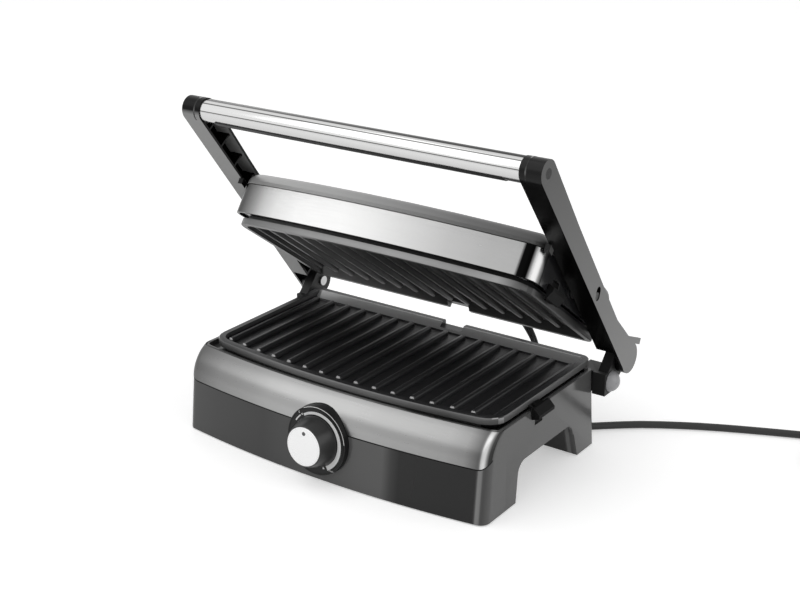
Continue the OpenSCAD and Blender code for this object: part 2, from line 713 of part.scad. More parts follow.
module thermostat() color([0.85, 0.83, 0.76]) dial_seat() difference() {
    union() {
        translate([-thermostat_w / 2, -thermostat_w / 2, bracket_plate_z - thermostat_h])
            cube([thermostat_w, thermostat_w, thermostat_h]);
        translate([0, 0, bracket_plate_z - 1]) cylinder(h = 7, r = bush_r);
    }
    translate([0, 0, bracket_plate_z - 12]) cylinder(h = 30, r = shaft_r + run_fit);
}
module thermostat_nut() color([0.7, 0.68, 0.6]) dial_seat()
    translate([0, 0, bracket_plate_z + bracket_plate_t]) difference() {
        cylinder(h = 2.4, r = 8.6, $fn = 6);
        translate([0, 0, -1]) cylinder(h = 5, r = bush_r + 0.02);
    }
module control_shaft() color([0.75, 0.75, 0.76]) dial_seat() difference() {
    translate([0, 0, bracket_plate_z - 11.5]) cylinder(h = 11.5 - bracket_plate_z + 12, r = shaft_r);
    translate([-5, shaft_r - 1, 4]) cube([10, 5, 20]);
}
cap_t = 0.8;
knob_wall = 2;
module knob() color([0.07, 0.07, 0.07]) dial_seat() difference() {
    rotate_extrude($fn = 96) polygon([[0, move_gap], [knob_r - 0.6, move_gap], [knob_r, move_gap + 0.6],
        [knob_face_r + 0.6, knob_len - 0.6], [knob_face_r, knob_len], [0, knob_len]]);
    translate([0, 0, knob_len - cap_t]) cylinder(h = 3, r = knob_face_r - 0.8, $fn = 96);
    translate([0, 0, move_gap - 0.1]) difference() {
        cylinder(h = knob_len - 4, r = knob_face_r - knob_wall, $fn = 64);
        cylinder(h = knob_len, r = shaft_r + 2.4);
    }
    difference() {
        cylinder(h = 12 + still_fit, r = shaft_r + 0.02);
        translate([-5, shaft_r - 1 + 0.02, 4]) cube([10, 5, 20]);
    }
}
module knob_cap() color([0.88, 0.88, 0.88]) dial_seat() translate([0, 0, knob_len - cap_t]) difference() {
    cylinder(h = cap_t, r = knob_face_r - 0.85, $fn = 96);
    translate([0, dot_at, 0.4]) cylinder(h = 2, r = dot_r);
}

// --- Base wiring and cord gland ------------------------------------------------------

wire_r = 1.2;
block_pos = [60, base_d - 50.5];
module terminal_block() color([0.9, 0.9, 0.86]) place() difference() {
    block(block_pos[0], block_pos[0] + 36, block_pos[1], block_pos[1] + 16, cover_z + cover_t,
        cover_z + cover_t + 12);
    for (i = [0 : 2]) rod_z(block_pos[0] + 6 + 12 * i, block_pos[1] + 8, cover_z + cover_t + 5,
        cover_z + cover_t + 14, 2.4);
}
// Where the three cores of the cord come up through the cover
module wire_way() rod_z(cord_start[0] - 22, cord_start[1] + mid_y - 26, cover_z - 1,
    cover_z + cover_t + 1, 4.5);
wire_z = cover_z + cover_t + 4;
fuse_at = [20, plate_y + fuse_y];
module base_wiring() color([0.7, 0.15, 0.1]) place() {
    // From the terminal block to the thermostat
    for (i = [0, 1]) tube([[block_pos[0] + 6 + 12 * i, block_pos[1], wire_z],
        [block_pos[0] + 6 + 12 * i, block_pos[1] - 8, wire_z],
        [block_pos[0] + 4 + 8 * i, block_pos[1] - 30, wire_z], [30 + 6 * i, 80, wire_z],
        [8 + 6 * i, 50, wire_z], [3 + 6 * i, 30, wire_z], [3 + 6 * i, 18, wire_z - 2]], wire_r, 6);
    // From the terminal block to the fuse
    tube([[block_pos[0], block_pos[1] + 8, wire_z], [54, block_pos[1] + 8, wire_z],
        [30, block_pos[1], wire_z + 6],
        [10, fuse_at[1], rim_top - pan_floor - pan_t - fuse_r],
        [fuse_at[0], fuse_at[1], rim_top - pan_floor - pan_t - fuse_r]], wire_r, 6);
}

// The cord leaves the gland level, along the floor's 3-4-5 direction
cord_aim = atan2(4, 3);
relief_r0 = 6.5;
relief_r1 = cord_r + 0.9;
module gland_seat() translate(cord_start) rotate([0, 0, cord_aim]) children();
gland_w = 24;
gland_l = 26;
module cord_gland() color([0.14, 0.14, 0.14]) difference() {
    gland_seat() translate([-relief_l - gland_l, -gland_w / 2, -9])
        cube([gland_l, gland_w, cover_z - cord_start[2] + 9]);
    gland_seat() rotate([0, 90, 0]) translate([0, 0, -relief_l - 14]) cylinder(h = 16, r = 5);
    place() wire_way();
}
module cord_strain_relief() color([0.1, 0.1, 0.1]) gland_seat() rotate([0, 90, 0]) difference() {
    union() {
        translate([0, 0, -relief_l]) cylinder(h = relief_l, r1 = relief_r0, r2 = relief_r1, $fn = 32);
        translate([0, 0, -relief_l - 3]) cylinder(h = 3.1, r = 5 - 0.02);
        translate([0, 0, -relief_l - 13]) cylinder(h = 10.1, r = 4);
    }
    for (z = [5 : 4 : relief_l - 4]) translate([0, 0, -z]) difference() {
        cylinder(h = 1.4, r = 9);
        translate([0, 0, -1]) cylinder(h = 4, r = cord_r + 0.6);
    }
}

// Route of the free cord: out of the gland, down to the floor and along it to the coil
cord_start = [112, 71.5, 22];
cord_route = [[112, 71.5, 22], [118, 79.5, 22], [123, 86, 21], [128, 92, 18.2],
    [134, 98.7, 12.8], [140, 105.1, 7.4], [145.5, 110.7, 4.5], [151, 116, 3.6],
    [162, 125.6, 3.6], [174, 135.7, 3.6], [187, 145.7, 3.6], [202, 155.4, 3.6],
    [218, 164.8, 3.6], [234, 173.6, 3.6], [251, 182, 3.6], [268, 189.8, 3.6],
    [285, 197.2, 3.6], [301, 204, 3.6], [316, 210.2, 3.6], [331, 216, 3.6],
    [345, 220.8, 3.8], [356, 223.8, 4.2], [367, 225, 4.4], [376, 225, 4.4]];
module power_cord() color([0.05, 0.05, 0.05]) tube(cord_route, cord_r, 10);

// The coil: clockwise inwards on the floor, up one layer, and outwards again
coil_lead = 8;
coil_at = [cord_route[23][0] + coil_lead, cord_route[23][1] - coil_r];
coil_low = cord_route[23][2];
coil_step = 2 * cord_r + coil_gap;
coil_high = coil_low + coil_step;
coil_ring = 15;
coil_half = coil_turns * 180;
function coil_radius(a) = coil_r - coil_step * (coil_half - abs(a - coil_half)) / 360;
function rise(t) = t < 0 ? 0 : t > 1 ? 1 : t * t * (3 - 2 * t);
function coil_height(a) = coil_low + (coil_high - coil_low) * rise((a - coil_half + 90) / 180);
function coil_point(a) = [coil_at[0] + coil_radius(a) * sin(a), coil_at[1] + coil_radius(a) * cos(a),
    coil_height(a)];
coil_round = [for (a = [0 : coil_ring : 2 * coil_half]) coil_point(a)];
coil_end = coil_point(2 * coil_half);
coil_out = [cos(2 * coil_half), -sin(2 * coil_half), 0];
coil_route = concat([cord_route[23]], coil_round, [coil_end + coil_lead * coil_out]);
// The least gap of the coil to itself, on its own points
coil_self_gap = min([for (i = [0 : len(coil_round) - 1], j = [i + 8 : 1 : len(coil_round) - 1])
    norm(coil_round[i] - coil_round[j])]) - 2 * cord_r;
echo(coil_self_gap = coil_self_gap);
module cord_coil() color([0.05, 0.05, 0.05]) tube(coil_route, cord_r, 6);

// A strap round the two layers on the coil's south side
tie_w = 9;
tie_t = 0.8;
tie_gap = 0.2;
tie_y0 = coil_at[1] - coil_radius(180) - cord_r - tie_gap - 0.2;
tie_y1 = coil_at[1] - coil_radius(540) + cord_r + tie_gap + 0.8;
tie_z1 = coil_high + cord_r + tie_gap;
module tie_section(grow) translate([tie_y0 - grow, coil_low - cord_r - tie_gap / 4 - grow])
    square([tie_y1 - tie_y0 + 2 * grow, tie_z1 - coil_low + cord_r + tie_gap / 4 + 2 * grow]);
module cord_tie() color([0.1, 0.1, 0.1]) across(coil_at[0] - tie_w / 2, coil_at[0] + tie_w / 2)
    difference() {
        tie_section(tie_t);
        tie_section(0);
    }

// The plug lies beside the coil, at its upper layer's height
plug_start = coil_end + coil_lead * coil_out;
plug_relief = 24;
plug_l = 32;
plug_w = 27;
plug_h = 2 * coil_high - 0.2;
module plug_seat() translate(plug_start) rotate([0, 0, -2 * coil_half]) rotate([0, 90, 0]) children();
module power_plug() color([0.06, 0.06, 0.06]) plug_seat() difference() {
    union() {
        cylinder(h = plug_relief + 1, r1 = cord_r + 0.8, r2 = 7, $fn = 32);
        translate([-plug_h / 2, -plug_w / 2 + 4, plug_relief]) cube([plug_h, plug_w - 8, plug_l]);
        translate([-plug_h / 2 + 4, -plug_w / 2, plug_relief]) cube([plug_h - 8, plug_w, plug_l]);
        for (x = [-1, 1], y = [-1, 1])
            translate([x * (plug_h / 2 - 4), y * (plug_w / 2 - 4), plug_relief])
                cylinder(h = plug_l, r = 4, $fn = 32);
    }
    prongs(0.02);
}
// Two blades and one round prong
module prongs(gap) {
    z = plug_relief + plug_l - 8;
    for (y = [-6.35, 6.35]) translate([-3.15 - gap - 3, y - 0.75 - gap, z])
        cube([6.3 + 2 * gap, 1.5 + 2 * gap, 25]);
    translate([5, 0, z]) cylinder(h = 27, r = 2.4 + gap);
}
module plug_prongs() color([0.8, 0.75, 0.5]) plug_seat() prongs(0);

// --- Hinge ---------------------------------------------------------------------------

bracket_screw_x = base_w / 2 - 11;
bracket_screw_z = [59, 66.4];
bracket_in = base_w / 2 - 15;
bracket_out = arm_x - 8.3;
ear_in = bracket_out - ear_t;
chamfer = 3;
module bracket_block() across(bracket_in, bracket_out) polygon([
    [base_rear(bracket_z) + 0.05, bracket_z], [bracket_rear - 2 * chamfer, bracket_z],
    [bracket_rear, bracket_z + 2 * chamfer], [bracket_rear, bracket_top],
    [base_rear(bracket_top) + 0.05, bracket_top]]);
// Stands beside the base, round the button's bore
module bracket_cheek() block(base_w / 2 + still_fit, bracket_out, button_y - button_r - 2.2,
    bracket_rear - 12, bracket_z, bracket_top);
module bracket_ear() across(ear_in, bracket_out) {
    translate([hinge_y, hinge_z]) circle(ear_r);
    polygon([[bracket_rear - 20, bracket_top - 1], [hinge_y - ear_r * 0.8, hinge_z + ear_r * 0.6],
        [hinge_y, hinge_z], [hinge_y + ear_r * 0.6, hinge_z - ear_r * 0.8],
        [bracket_rear - 1, bracket_z + 2 * chamfer + 2]]);
}
module bracket(with_button) difference() {
    union() {
        bracket_block();
        bracket_cheek();
        bracket_ear();
    }
    rod_x(ear_in - 1, bracket_out + 1, hinge_y, hinge_z, pin_r + 0.02);
    // The screws come from inside the base
    for (z = bracket_screw_z) translate([bracket_screw_x, base_rear(z) + 10, z]) rotate([90, 0, 0])
        cylinder(h = 12, r = screw_r + 0.03);
    if (with_button) {
        rod_x(bracket_out - button_travel - button_base, bracket_out + 1, button_y, button_z,
            button_r + 0.2);
        rod_x(spring_in, bracket_out, button_y, button_z, spring_mid + 1.2);
        rod_x(button_stem - button_travel - 0.6, bracket_out, button_y, button_z, stem_r + run_fit);
    }
}
button_base = 3.6;
spring_mid = 4.6;
spring_in = bracket_out - button_travel - button_base - 6;
button_stem = spring_in - 4;
module hinge_bracket_right() color([0.13, 0.13, 0.13]) place() bracket(true);
module hinge_bracket_left() color([0.13, 0.13, 0.13]) place() mirror([1, 0, 0]) bracket(false);

module hinge_pins() color([0.7, 0.7, 0.7]) place() both_sides() {
    rod_x(ear_in - 2, ear_in, hinge_y, hinge_z, pin_r + 2);
    rod_x(ear_in - 1, arm_x - 2, hinge_y, hinge_z, pin_r);
}
module bracket_screws() color([0.6, 0.6, 0.6]) place() both_sides() for (z = bracket_screw_z)
    translate([bracket_screw_x, base_rear(z) + 9.5, z]) rotate([90, 0, 0]) {
        cylinder(h = 9.5 + base_wall + 1, r = screw_r);
        translate([0, 0, 9.5 + base_wall + 1]) cylinder(h = screw_head_h, r = screw_head_r);
    }

button_rise = arm_x - 0.3 - bracket_out;
button_ball = (button_r * button_r + button_rise * button_rise) / (2 * button_rise);
button_back = bracket_out - button_base;
module hinge_release_button() color([0.62, 0.62, 0.62]) place() {
    rod_x(button_back, bracket_out + 0.01, button_y, button_z, button_r);
    intersection() {
        translate([arm_x - 0.3 - button_ball, button_y, button_z]) rotate([0, 90, 0])
            sphere(r = button_ball, $fn = 64);
        rod_x(bracket_out, arm_x, button_y, button_z, button_r);
    }
    rod_x(button_stem, button_back + 0.1, button_y, button_z, stem_r);
}
module release_spring() color([0.75, 0.75, 0.75]) place()
    spring_x(spring_in, button_back, button_y, button_z, spring_mid);

// --- Plate levers --------------------------------------------------------------------

// The lever's profile in (outwards, down from the plate's face), extruded along y. A web behind
// the side wall carries the stem
lip_t = 1.1;
lever_catch = 12;
module lever_prism(w, y) translate([0, y + w / 2, 0]) rotate([90, 0, 0]) linear_extrude(w)
    children();
module lever_shape(side, out, lip, depth, stem, y) {
    lever_prism(lever_w, y) polygon([[side + move_gap, rib_drop], [side + 2.5, rib_drop],
        [side + out, depth - 5.5], [side + out, depth - 2.6], [side + out - 2.5, depth - 1.6],
        [side + move_gap, depth]]);
    lever_prism(lever_catch, y) {
        polygon([[lip, rib_drop], [side + 1, rib_drop], [side + 1, rib_drop + lip_t],
            [lip, rib_drop + lip_t]]);
        polygon([[side - 3.2, depth - 4], [side + 1, depth - 4], [side + 1, depth - 2.4],
            [side - 0.6, depth - 1.6], [side - 0.6, stem + stem_r], [side - 3.2, stem + stem_r]]);
    }
}
stem_flange = 4.4;
spring_stem = 3.6;
module lever_stem(side, y, z) {
    rod_x(pan_w / 2 + 1.5, side + move_gap + 1, y, z, stem_r);
    rod_x(pan_w / 2 + 0.5, pan_w / 2 + 2, y, z, stem_flange);
}
lower_side = base_half(stem_z);
lower_depth = 14;
module lower_plate_latch() color([0.12, 0.12, 0.12]) lower_seat() {
    y = lever_y - plate_y + lever_w / 2;
    lever_shape(lower_side, lever_out, tab_x - 2, lower_depth, rim_top - stem_z, y);
    lever_stem(lower_side - 3, y, rim_top - stem_z);
}
module lower_latch_spring() color([0.75, 0.75, 0.75]) place()
    spring_x(pan_w / 2 + 2, guide_x, lever_y + lever_w / 2, stem_z, spring_stem);

lid_deck = plate_t + pan_t;
upper_stem = lid_deck + deck_t + stem_flange + 0.3;
upper_depth = 16;
upper_side = lid_w / 2;
upper_guide = upper_side - 7;
module upper_plate_latch() color([0.12, 0.12, 0.12]) upper_seat() {
    y = upper_lever_s + lever_w / 2;
    lever_shape(upper_side, upper_lever_out, upper_tab_x - 1.5, upper_depth, upper_stem, y);
    lever_stem(upper_side - 3, y, upper_stem);
}
module upper_latch_spring() color([0.75, 0.75, 0.75]) upper_seat()
    spring_x(pan_w / 2 + 2, upper_guide, upper_lever_s + lever_w / 2, upper_stem, spring_stem - 0.4);

// --- Arms and handle -----------------------------------------------------------------

handle_end_r = 11.6;
channel_from = 27.5;
hook_side = [-0.505, -0.863];
arm_bend = 190;
arm_upper = [[arm_l, handle_end_r - handle_v], [arm_bend, arm_high], [55.7, arm_high - 1.5],
    [21.7, arm_high + 4]];
slot_dir = [sin(slot_lean), cos(slot_lean)];

// The pivot shaft's resting place in the arm's frame
pivot_dy = hinge_y - lid_y - pivot_s;
pivot_dz = lid_z + pivot_n - hinge_z;
pivot_uv = [pivot_dy * cos(arm_pitch) + pivot_dz * sin(arm_pitch),
    pivot_dz * cos(arm_pitch) - pivot_dy * sin(arm_pitch)];
slot_r = pivot_r + slot_fit;
module pivot_slot() {
    translate(pivot_uv) rotate(-slot_lean) {
        circle(slot_r);
        translate([-slot_r, 0]) square([2 * slot_r, slot_travel]);
        translate([0, slot_travel]) circle(slot_r);
    }
}
module arm_side_shape() {
    polygon(concat(arm_upper, [[8, hook_v - 9.5], [0, 10], [0, 0], [0, -arm_low],
        [arm_bend, -arm_low], [arm_l, -handle_end_r - handle_v]]));
    translate([0, 0.5]) circle(arm_end_r);
    translate([arm_l, -handle_v]) circle(handle_end_r);
    polygon([arm_upper[3], [-hook_u, hook_v], [-hook_u, hook_v] + hook_t * hook_side,
        arm_upper[3] + hook_t * hook_side]);
}
rib_t = 1.8;
// The lug stands beside the front corner of the closed lid
lug_u = (hinge_y - lid_y) / cos(arm_pitch) - 7.9;
module arm() {
    difference() {
        union() {
            arm_slab(arm_x - arm_t, arm_x) arm_side_shape();
            // Flanges of the channel
            arm_slab(arm_in, arm_x - 1) {
                polygon(concat([for (p = arm_upper) p], [for (i = [3 : -1 : 0])
                    arm_upper[i] - [0, arm_t]]));
                polygon([[arm_l, -handle_end_r - handle_v], [arm_bend, -arm_low],
                    [channel_from, -arm_low], [channel_from, arm_t - arm_low],
                    [arm_bend, arm_t - arm_low], [arm_l, arm_t - handle_end_r - handle_v]]);
                polygon([[channel_from, -arm_low], [channel_from + arm_t, -arm_low],
                    [channel_from + arm_t, arm_high], [channel_from, arm_high]]);
            }
            // Ribs across the channel
            for (u = arm_ribs) arm_slab(arm_in + 3, arm_x - 1)
                translate([u, 1 - arm_low]) square([rib_t, arm_low + arm_high - 1.4]);
            // Round ends at the hinge and at the handle
            arm_slab(bracket_out + move_gap, arm_x - 1) translate([0, 0.5]) circle(arm_end_r);
            arm_slab(arm_in, arm_x) translate([arm_l, -handle_v]) circle(handle_end_r);
            // Wall round the slot
            arm_slab(arm_x - 6, arm_x - 1) intersection() {
                translate(pivot_uv + slot_dir * slot_travel / 2) circle(slot_r + slot_travel / 2 + 3);
                translate([pivot_uv[0] - 20, 0.5 - arm_low]) square([60, arm_low + arm_high - 2.5]);
            }
            // Lug on the front flange
            arm_slab(arm_in - 3, arm_in + 2) translate([lug_u, -arm_low]) polygon([[0, 1],
                [8, 1], [6, -5], [-1, -5]]);
        }
        arm_slab(arm_in - 1, arm_x - 1.6) circle(pin_r + run_fit);
        arm_slab(arm_in - 1, arm_x + 1) pivot_slot();
        arm_slab(arm_in - 1, arm_x - 1) translate([arm_l, -handle_v]) circle(handle_screw_r + 0.05);
        arm_slab(arm_x - 5.5, arm_x + 1) translate([arm_l, -handle_v]) circle(handle_cap_r + 0.05);
    }
}
module arm_right() color([0.1, 0.1, 0.1]) arm();
module arm_left() color([0.1, 0.1, 0.1]) mirror([1, 0, 0]) arm();

handle_screw_r = 2.2;
handle_cap_r = 4.4;
module handle_ring(x0, x1, r, bore) arm_slab(x0, x1) translate([arm_l, -handle_v]) difference() {
    circle(r);
    if (bore > 0) circle(bore);
}
module handle_tube() color([0.8, 0.8, 0.8]) handle_ring(-handle_x, handle_x, handle_r,
    handle_r - handle_t);
module handle_collar() {
    handle_ring(handle_x, arm_in, handle_r + 0.8, handle_screw_r + 0.02);
    handle_ring(handle_x - 14, handle_x, handle_r - handle_t - 0.05, handle_screw_r + 0.02);
}
module handle_collar_right() color([0.08, 0.08, 0.08]) handle_collar();
module handle_collar_left() color([0.08, 0.08, 0.08]) mirror([1, 0, 0]) handle_collar();
module handle_screws() color([0.6, 0.6, 0.6]) both_sides() {
    handle_ring(handle_x - 12, arm_x - 5.4, handle_screw_r, 0);
    handle_ring(arm_x - 5.5, arm_x - 2.5, handle_cap_r - 0.4, 0);
}
module handle_caps() color([0.08, 0.08, 0.08]) both_sides()
    handle_ring(arm_x - 2.4, arm_x, handle_cap_r, 0);
inlay_t = 0.7;
inlay_arc = 76;
inlay_at = -128;
module handle_inlay() color([0.08, 0.08, 0.08]) arm_slab(-handle_x + 12, handle_x - 12)
    translate([arm_l, -handle_v]) difference() {
        circle(handle_r + inlay_t);
        circle(handle_r + 0.02);
        rotate(inlay_at + inlay_arc / 2) translate([-30, 0]) square([60, 30]);
        rotate(inlay_at - inlay_arc / 2) translate([-30, -30]) square([60, 30]);
    }

// --- Lid -----------------------------------------------------------------------------

lid_bow = upper_bow;
lid_corner = 14;
function lid_level(n, inset) = [n, lid_w / 2 - inset, inset - lid_bow - lid_lead, lid_bow,
    lid_l - inset, max(lid_corner - inset, 3), max(lid_corner - inset, 3)];
module lid_shape(inset, n0, n1) loft([lid_level(n0, inset), lid_level(n1, inset)]);
lid_post_x = lid_w / 2 - 10.5;
lid_posts = [for (x = [-lid_post_x, lid_post_x], y = [18, lid_l - 16.5]) [x, y]];
module lid_housing() color([0.09, 0.09, 0.09]) upper_seat() difference() {
    union() {
        difference() {
            lid_shape(0, band_low, band_high);
            lid_shape(lid_wall, lid_deck + deck_t, band_high + 1);
            lid_shape(lid_wall, band_low - 1, lid_deck);
            translate([0, 0, lid_deck - 1]) linear_extrude(deck_t + 3)
                round_rect(-pan_w / 2 - still_fit, pan_w / 2 + still_fit, pan_front - still_fit,
                    upper_l - pan_rear + still_fit, pan_corner);
        }
        both_sides() rod_x(lid_w / 2 - 12, lid_w / 2 - 1, pivot_s, pivot_n, pivot_r + 3.5);
        for (p = lid_posts) rod_z(p[0], p[1], lid_deck + 1, band_high - 0.5, post_r);
        block(upper_guide, upper_guide + 3, upper_lever_s + lever_w / 2 - 7,
            upper_lever_s + lever_w / 2 + 7, lid_deck + 0.1, upper_stem + 5);
    }
    difference() {
        translate([-lid_w, -60, band_low - 1]) cube([2 * lid_w, 60 + band_wrap + still_fit, 40]);
        lid_shape(band_t + still_fit, band_low - 2, band_high + 50);
    }
    both_sides() rod_x(lid_w / 2 - 14, lid_w / 2 + 1, pivot_s, pivot_n, pivot_r + run_fit);
    block(lid_w / 2 - 5, lid_w / 2 + 1, upper_lever_s + (lever_w - lever_catch) / 2 - 0.5,
        upper_lever_s + (lever_w + lever_catch) / 2 + 0.5, band_low - 1, upper_stem + 3.4);
    rod_x(upper_guide - 1, upper_guide + 4, upper_lever_s + lever_w / 2, upper_stem,
        stem_r + still_fit);
    for (p = lid_posts) rod_z(p[0], p[1], band_high - 8, band_high + 1,
        screw_r + 0.03);
    loom_lid_hole();
}
// Opening in the rear wall for the loom's bush
loom_lid = [62, 17.6];
module loom_lid_hole() translate([loom_lid[0], lid_l + 1, loom_lid[1]]) rotate([90, 0, 0])
    cylinder(h = lid_wall + 3, r = bush_hole);

module lid_band() color([0.78, 0.78, 0.79]) upper_seat() difference() {
    intersection() {
        lid_shape(0, band_low, band_high);
        translate([-lid_w, -60, 0]) cube([2 * lid_w, 60 + band_wrap, 60]);
    }
    lid_shape(band_t, band_low - 1, band_high + 1);
}

dome_steps = 6;
// The cover's posts end inside its shell
cover_post_h = 11.8;
module dome(grow, n0) loft(concat([lid_level(n0, grow)],
    [for (i = [0 : dome_steps]) let (a = 90 * i / dome_steps)
        lid_level(band_high + seam + (dome_h - 2.5) * sin(a) - grow, grow + 13 * (1 - cos(a)))],
    [lid_level(band_high + seam + dome_h - 0.8 - grow, grow + 34),
     lid_level(band_high + seam + dome_h - grow, grow + 58)]));
module lid_cover() color([0.6, 0.6, 0.6]) upper_seat() difference() {
    union() {
        difference() {
            dome(0, band_high + seam - 0.01);
            dome(lid_wall - 0.6, band_high - 4);
        }
        for (p = lid_posts) rod_z(p[0], p[1], band_high, band_high + cover_post_h, post_r - 1);
        // Spigot inside the lid's wall
        difference() {
            lid_shape(lid_wall + still_fit, band_high - 3, band_high + 4);
            lid_shape(lid_wall + 1.6, band_high - 4, band_high + 5);
            for (p = lid_posts) rod_z(p[0], p[1], band_high - 5, band_high,
                post_r + 0.3);
        }
    }
    for (p = lid_posts) rod_z(p[0], p[1], band_high - 1, band_high + 5,
        screw_r + 0.03);
}
module lid_screws() color([0.6, 0.6, 0.6]) upper_seat() for (p = lid_posts)
    rod_z(p[0], p[1], band_high - 7, band_high + 4.5, screw_r);

module lid_pivot_shaft() color([0.72, 0.72, 0.72]) upper_seat()
    rod_x(-pivot_x, pivot_x, pivot_s, pivot_n, pivot_r);
clip_x = lid_w / 2 + 0.8;
module pivot_clips() color([0.6, 0.6, 0.6]) upper_seat() both_sides()
    translate([clip_x, pivot_s, pivot_n]) rotate([0, 90, 0]) difference() {
        cylinder(h = 1.6, r = pivot_r + 2.6);
        translate([0, 0, -1]) cylinder(h = 4, r = pivot_r + 0.02);
    }

// --- Wire loom -----------------------------------------------------------------------

bush_hole = 6;
loom_wire_r = 1.5;
loom_pitch = 3.6;
loom_z = 62;
// Where the wires end, and where their holes in a bush end, out of the bush's seat
loom_end = 1.8;
loom_hole_z = 1.4;
rear_slope = atan(rear_lean / base_h);
rear_out = [0, cos(rear_slope), sin(rear_slope)];
rear_up = [0, -sin(rear_slope), cos(rear_slope)];
loom_from = [loom_x, base_rear(loom_z), loom_z] + loom_end * rear_out;
module loom_seat() translate([loom_x, base_rear(loom_z), loom_z]) rotate([rear_slope - 90, 0, 0])
    children();
lid_end_y = lid_y + lid_l + loom_end - hinge_y;
lid_end_z = lid_z + loom_lid[1] - hinge_z;
loom_to = [loom_lid[0], hinge_y + lid_end_y * cos(arm_open) + lid_end_z * sin(arm_open),
    hinge_z - lid_end_y * sin(arm_open) + lid_end_z * cos(arm_open)];
loom_out = [0, cos(arm_open), -sin(arm_open)];
// A cubic curve from the base's rear wall to the lid's, square to both
function loom_point(t, shift) =
    let (a = loom_from + shift * rear_up, b = a + 26 * rear_out,
        c = loom_to + 22 * loom_out + [0, shift * sin(arm_open), shift * cos(arm_open)],
        d = loom_to + [0, shift * sin(arm_open), shift * cos(arm_open)])
    pow(1 - t, 3) * a + 3 * t * pow(1 - t, 2) * b + 3 * t * t * (1 - t) * c + pow(t, 3) * d;
module wire_loom() color([0.06, 0.06, 0.06]) place() for (i = [-1 : 1])
    tube([for (k = [0 : 12]) loom_point(k / 12, i * loom_pitch)], loom_wire_r, 8, [1, 0, 0]);
module bush() difference() {
    union() {
        translate([0, 0, -4]) cylinder(h = 5, r = bush_hole - 0.05);
        cylinder(h = 2.4, r = bush_hole + 1.5);
    }
    for (i = [-1 : 1]) translate([0, i * loom_pitch, loom_hole_z])
        cylinder(h = 2, r = loom_wire_r + 2 * still_fit);
}
module loom_bush_base() color([0.1, 0.1, 0.1]) place()
    loom_seat() bush();
module loom_bush_lid() color([0.1, 0.1, 0.1]) upper_seat()
    translate([loom_lid[0], lid_l, loom_lid[1]]) rotate([-90, 0, 0]) bush();

base_housing();
front_trim();
bottom_cover();
rubber_feet();
bottom_screws();
lower_reflector();
lower_grill_plate();
lower_heating_element();
lower_element_clips();
thermostat();
thermostat_bracket();
thermostat_nut();
dial_boss();
dial_scale();
thermal_fuse();
terminal_block();
base_wiring();
cord_gland();
cord_strain_relief();
power_cord();
cord_coil();
cord_tie();
power_plug();
plug_prongs();
hinge_bracket_left();
hinge_bracket_right();
hinge_pins();
bracket_screws();
release_spring();
lower_latch_spring();
wire_loom();
loom_bush_base();
control_shaft();
knob();
knob_cap();
hinge_release_button();
lower_plate_latch();
arm_left();
arm_right();
handle_tube();
handle_inlay();
handle_collar_left();
handle_collar_right();
handle_screws();
handle_caps();
lid_pivot_shaft();
pivot_clips();
lid_housing();
lid_band();
lid_cover();
upper_reflector();
upper_grill_plate();
upper_heating_element();
upper_element_clips();
upper_thermal_fuse();
lid_screws();
upper_latch_spring();
loom_bush_lid();
upper_plate_latch();
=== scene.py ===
# %% [markdown]
# # An electric contact grill with its lid open
#
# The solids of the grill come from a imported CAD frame. This lesson dresses them: it sets up the
# camera, writes one procedural finish for every surface, lays the cord, and rebuilds the pieces
# that need soft edges or fine detail. Blender works in metres, +Z is up and the dial faces -Y.
# Sizes are written in millimetres, and MM turns them into metres.

# %% Load the frame
import json
import math

import bmesh
import bpy
from mathutils import Matrix, Vector


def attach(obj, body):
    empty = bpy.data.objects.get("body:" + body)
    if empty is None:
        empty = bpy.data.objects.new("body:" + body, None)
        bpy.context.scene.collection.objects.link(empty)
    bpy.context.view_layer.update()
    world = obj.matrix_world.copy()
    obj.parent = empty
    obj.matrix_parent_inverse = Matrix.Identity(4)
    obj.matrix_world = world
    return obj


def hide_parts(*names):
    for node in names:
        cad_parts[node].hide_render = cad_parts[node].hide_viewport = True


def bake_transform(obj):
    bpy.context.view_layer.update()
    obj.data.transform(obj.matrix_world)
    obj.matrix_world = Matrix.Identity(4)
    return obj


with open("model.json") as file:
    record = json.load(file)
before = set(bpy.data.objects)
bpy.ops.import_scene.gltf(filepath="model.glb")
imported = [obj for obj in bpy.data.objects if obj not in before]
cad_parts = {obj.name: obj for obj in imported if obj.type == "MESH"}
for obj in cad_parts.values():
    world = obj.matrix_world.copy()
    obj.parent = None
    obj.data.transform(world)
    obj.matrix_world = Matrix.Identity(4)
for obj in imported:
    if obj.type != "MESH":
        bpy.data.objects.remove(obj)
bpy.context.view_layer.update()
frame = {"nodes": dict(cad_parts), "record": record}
NODES = frame["nodes"]
MM = 0.001

# %% [markdown]
# ## Camera
#
# The grill is seen from 35 degrees round from its front and 21 degrees above, through a long
# lens, as for a catalogue picture.

# %% Camera
BASE_MIDDLE = 99.438  # depth of the object's middle behind the base's front corners
CAMERA_TURN, CAMERA_DIP = 35.12, 21.23
camera_data = bpy.data.cameras.new("camera")
camera_data.sensor_width = 36
camera_data.lens = 65.34
camera = bpy.data.objects.new("camera", camera_data)
camera.location = Vector((712.8, -900.5 - BASE_MIDDLE, 611.6)) * MM
camera.rotation_euler = (math.radians(90 - CAMERA_DIP), 0, math.radians(CAMERA_TURN))
bpy.context.scene.collection.objects.link(camera)
bpy.context.scene.camera = camera
print("camera turned", CAMERA_TURN, "degrees and dipped", CAMERA_DIP)
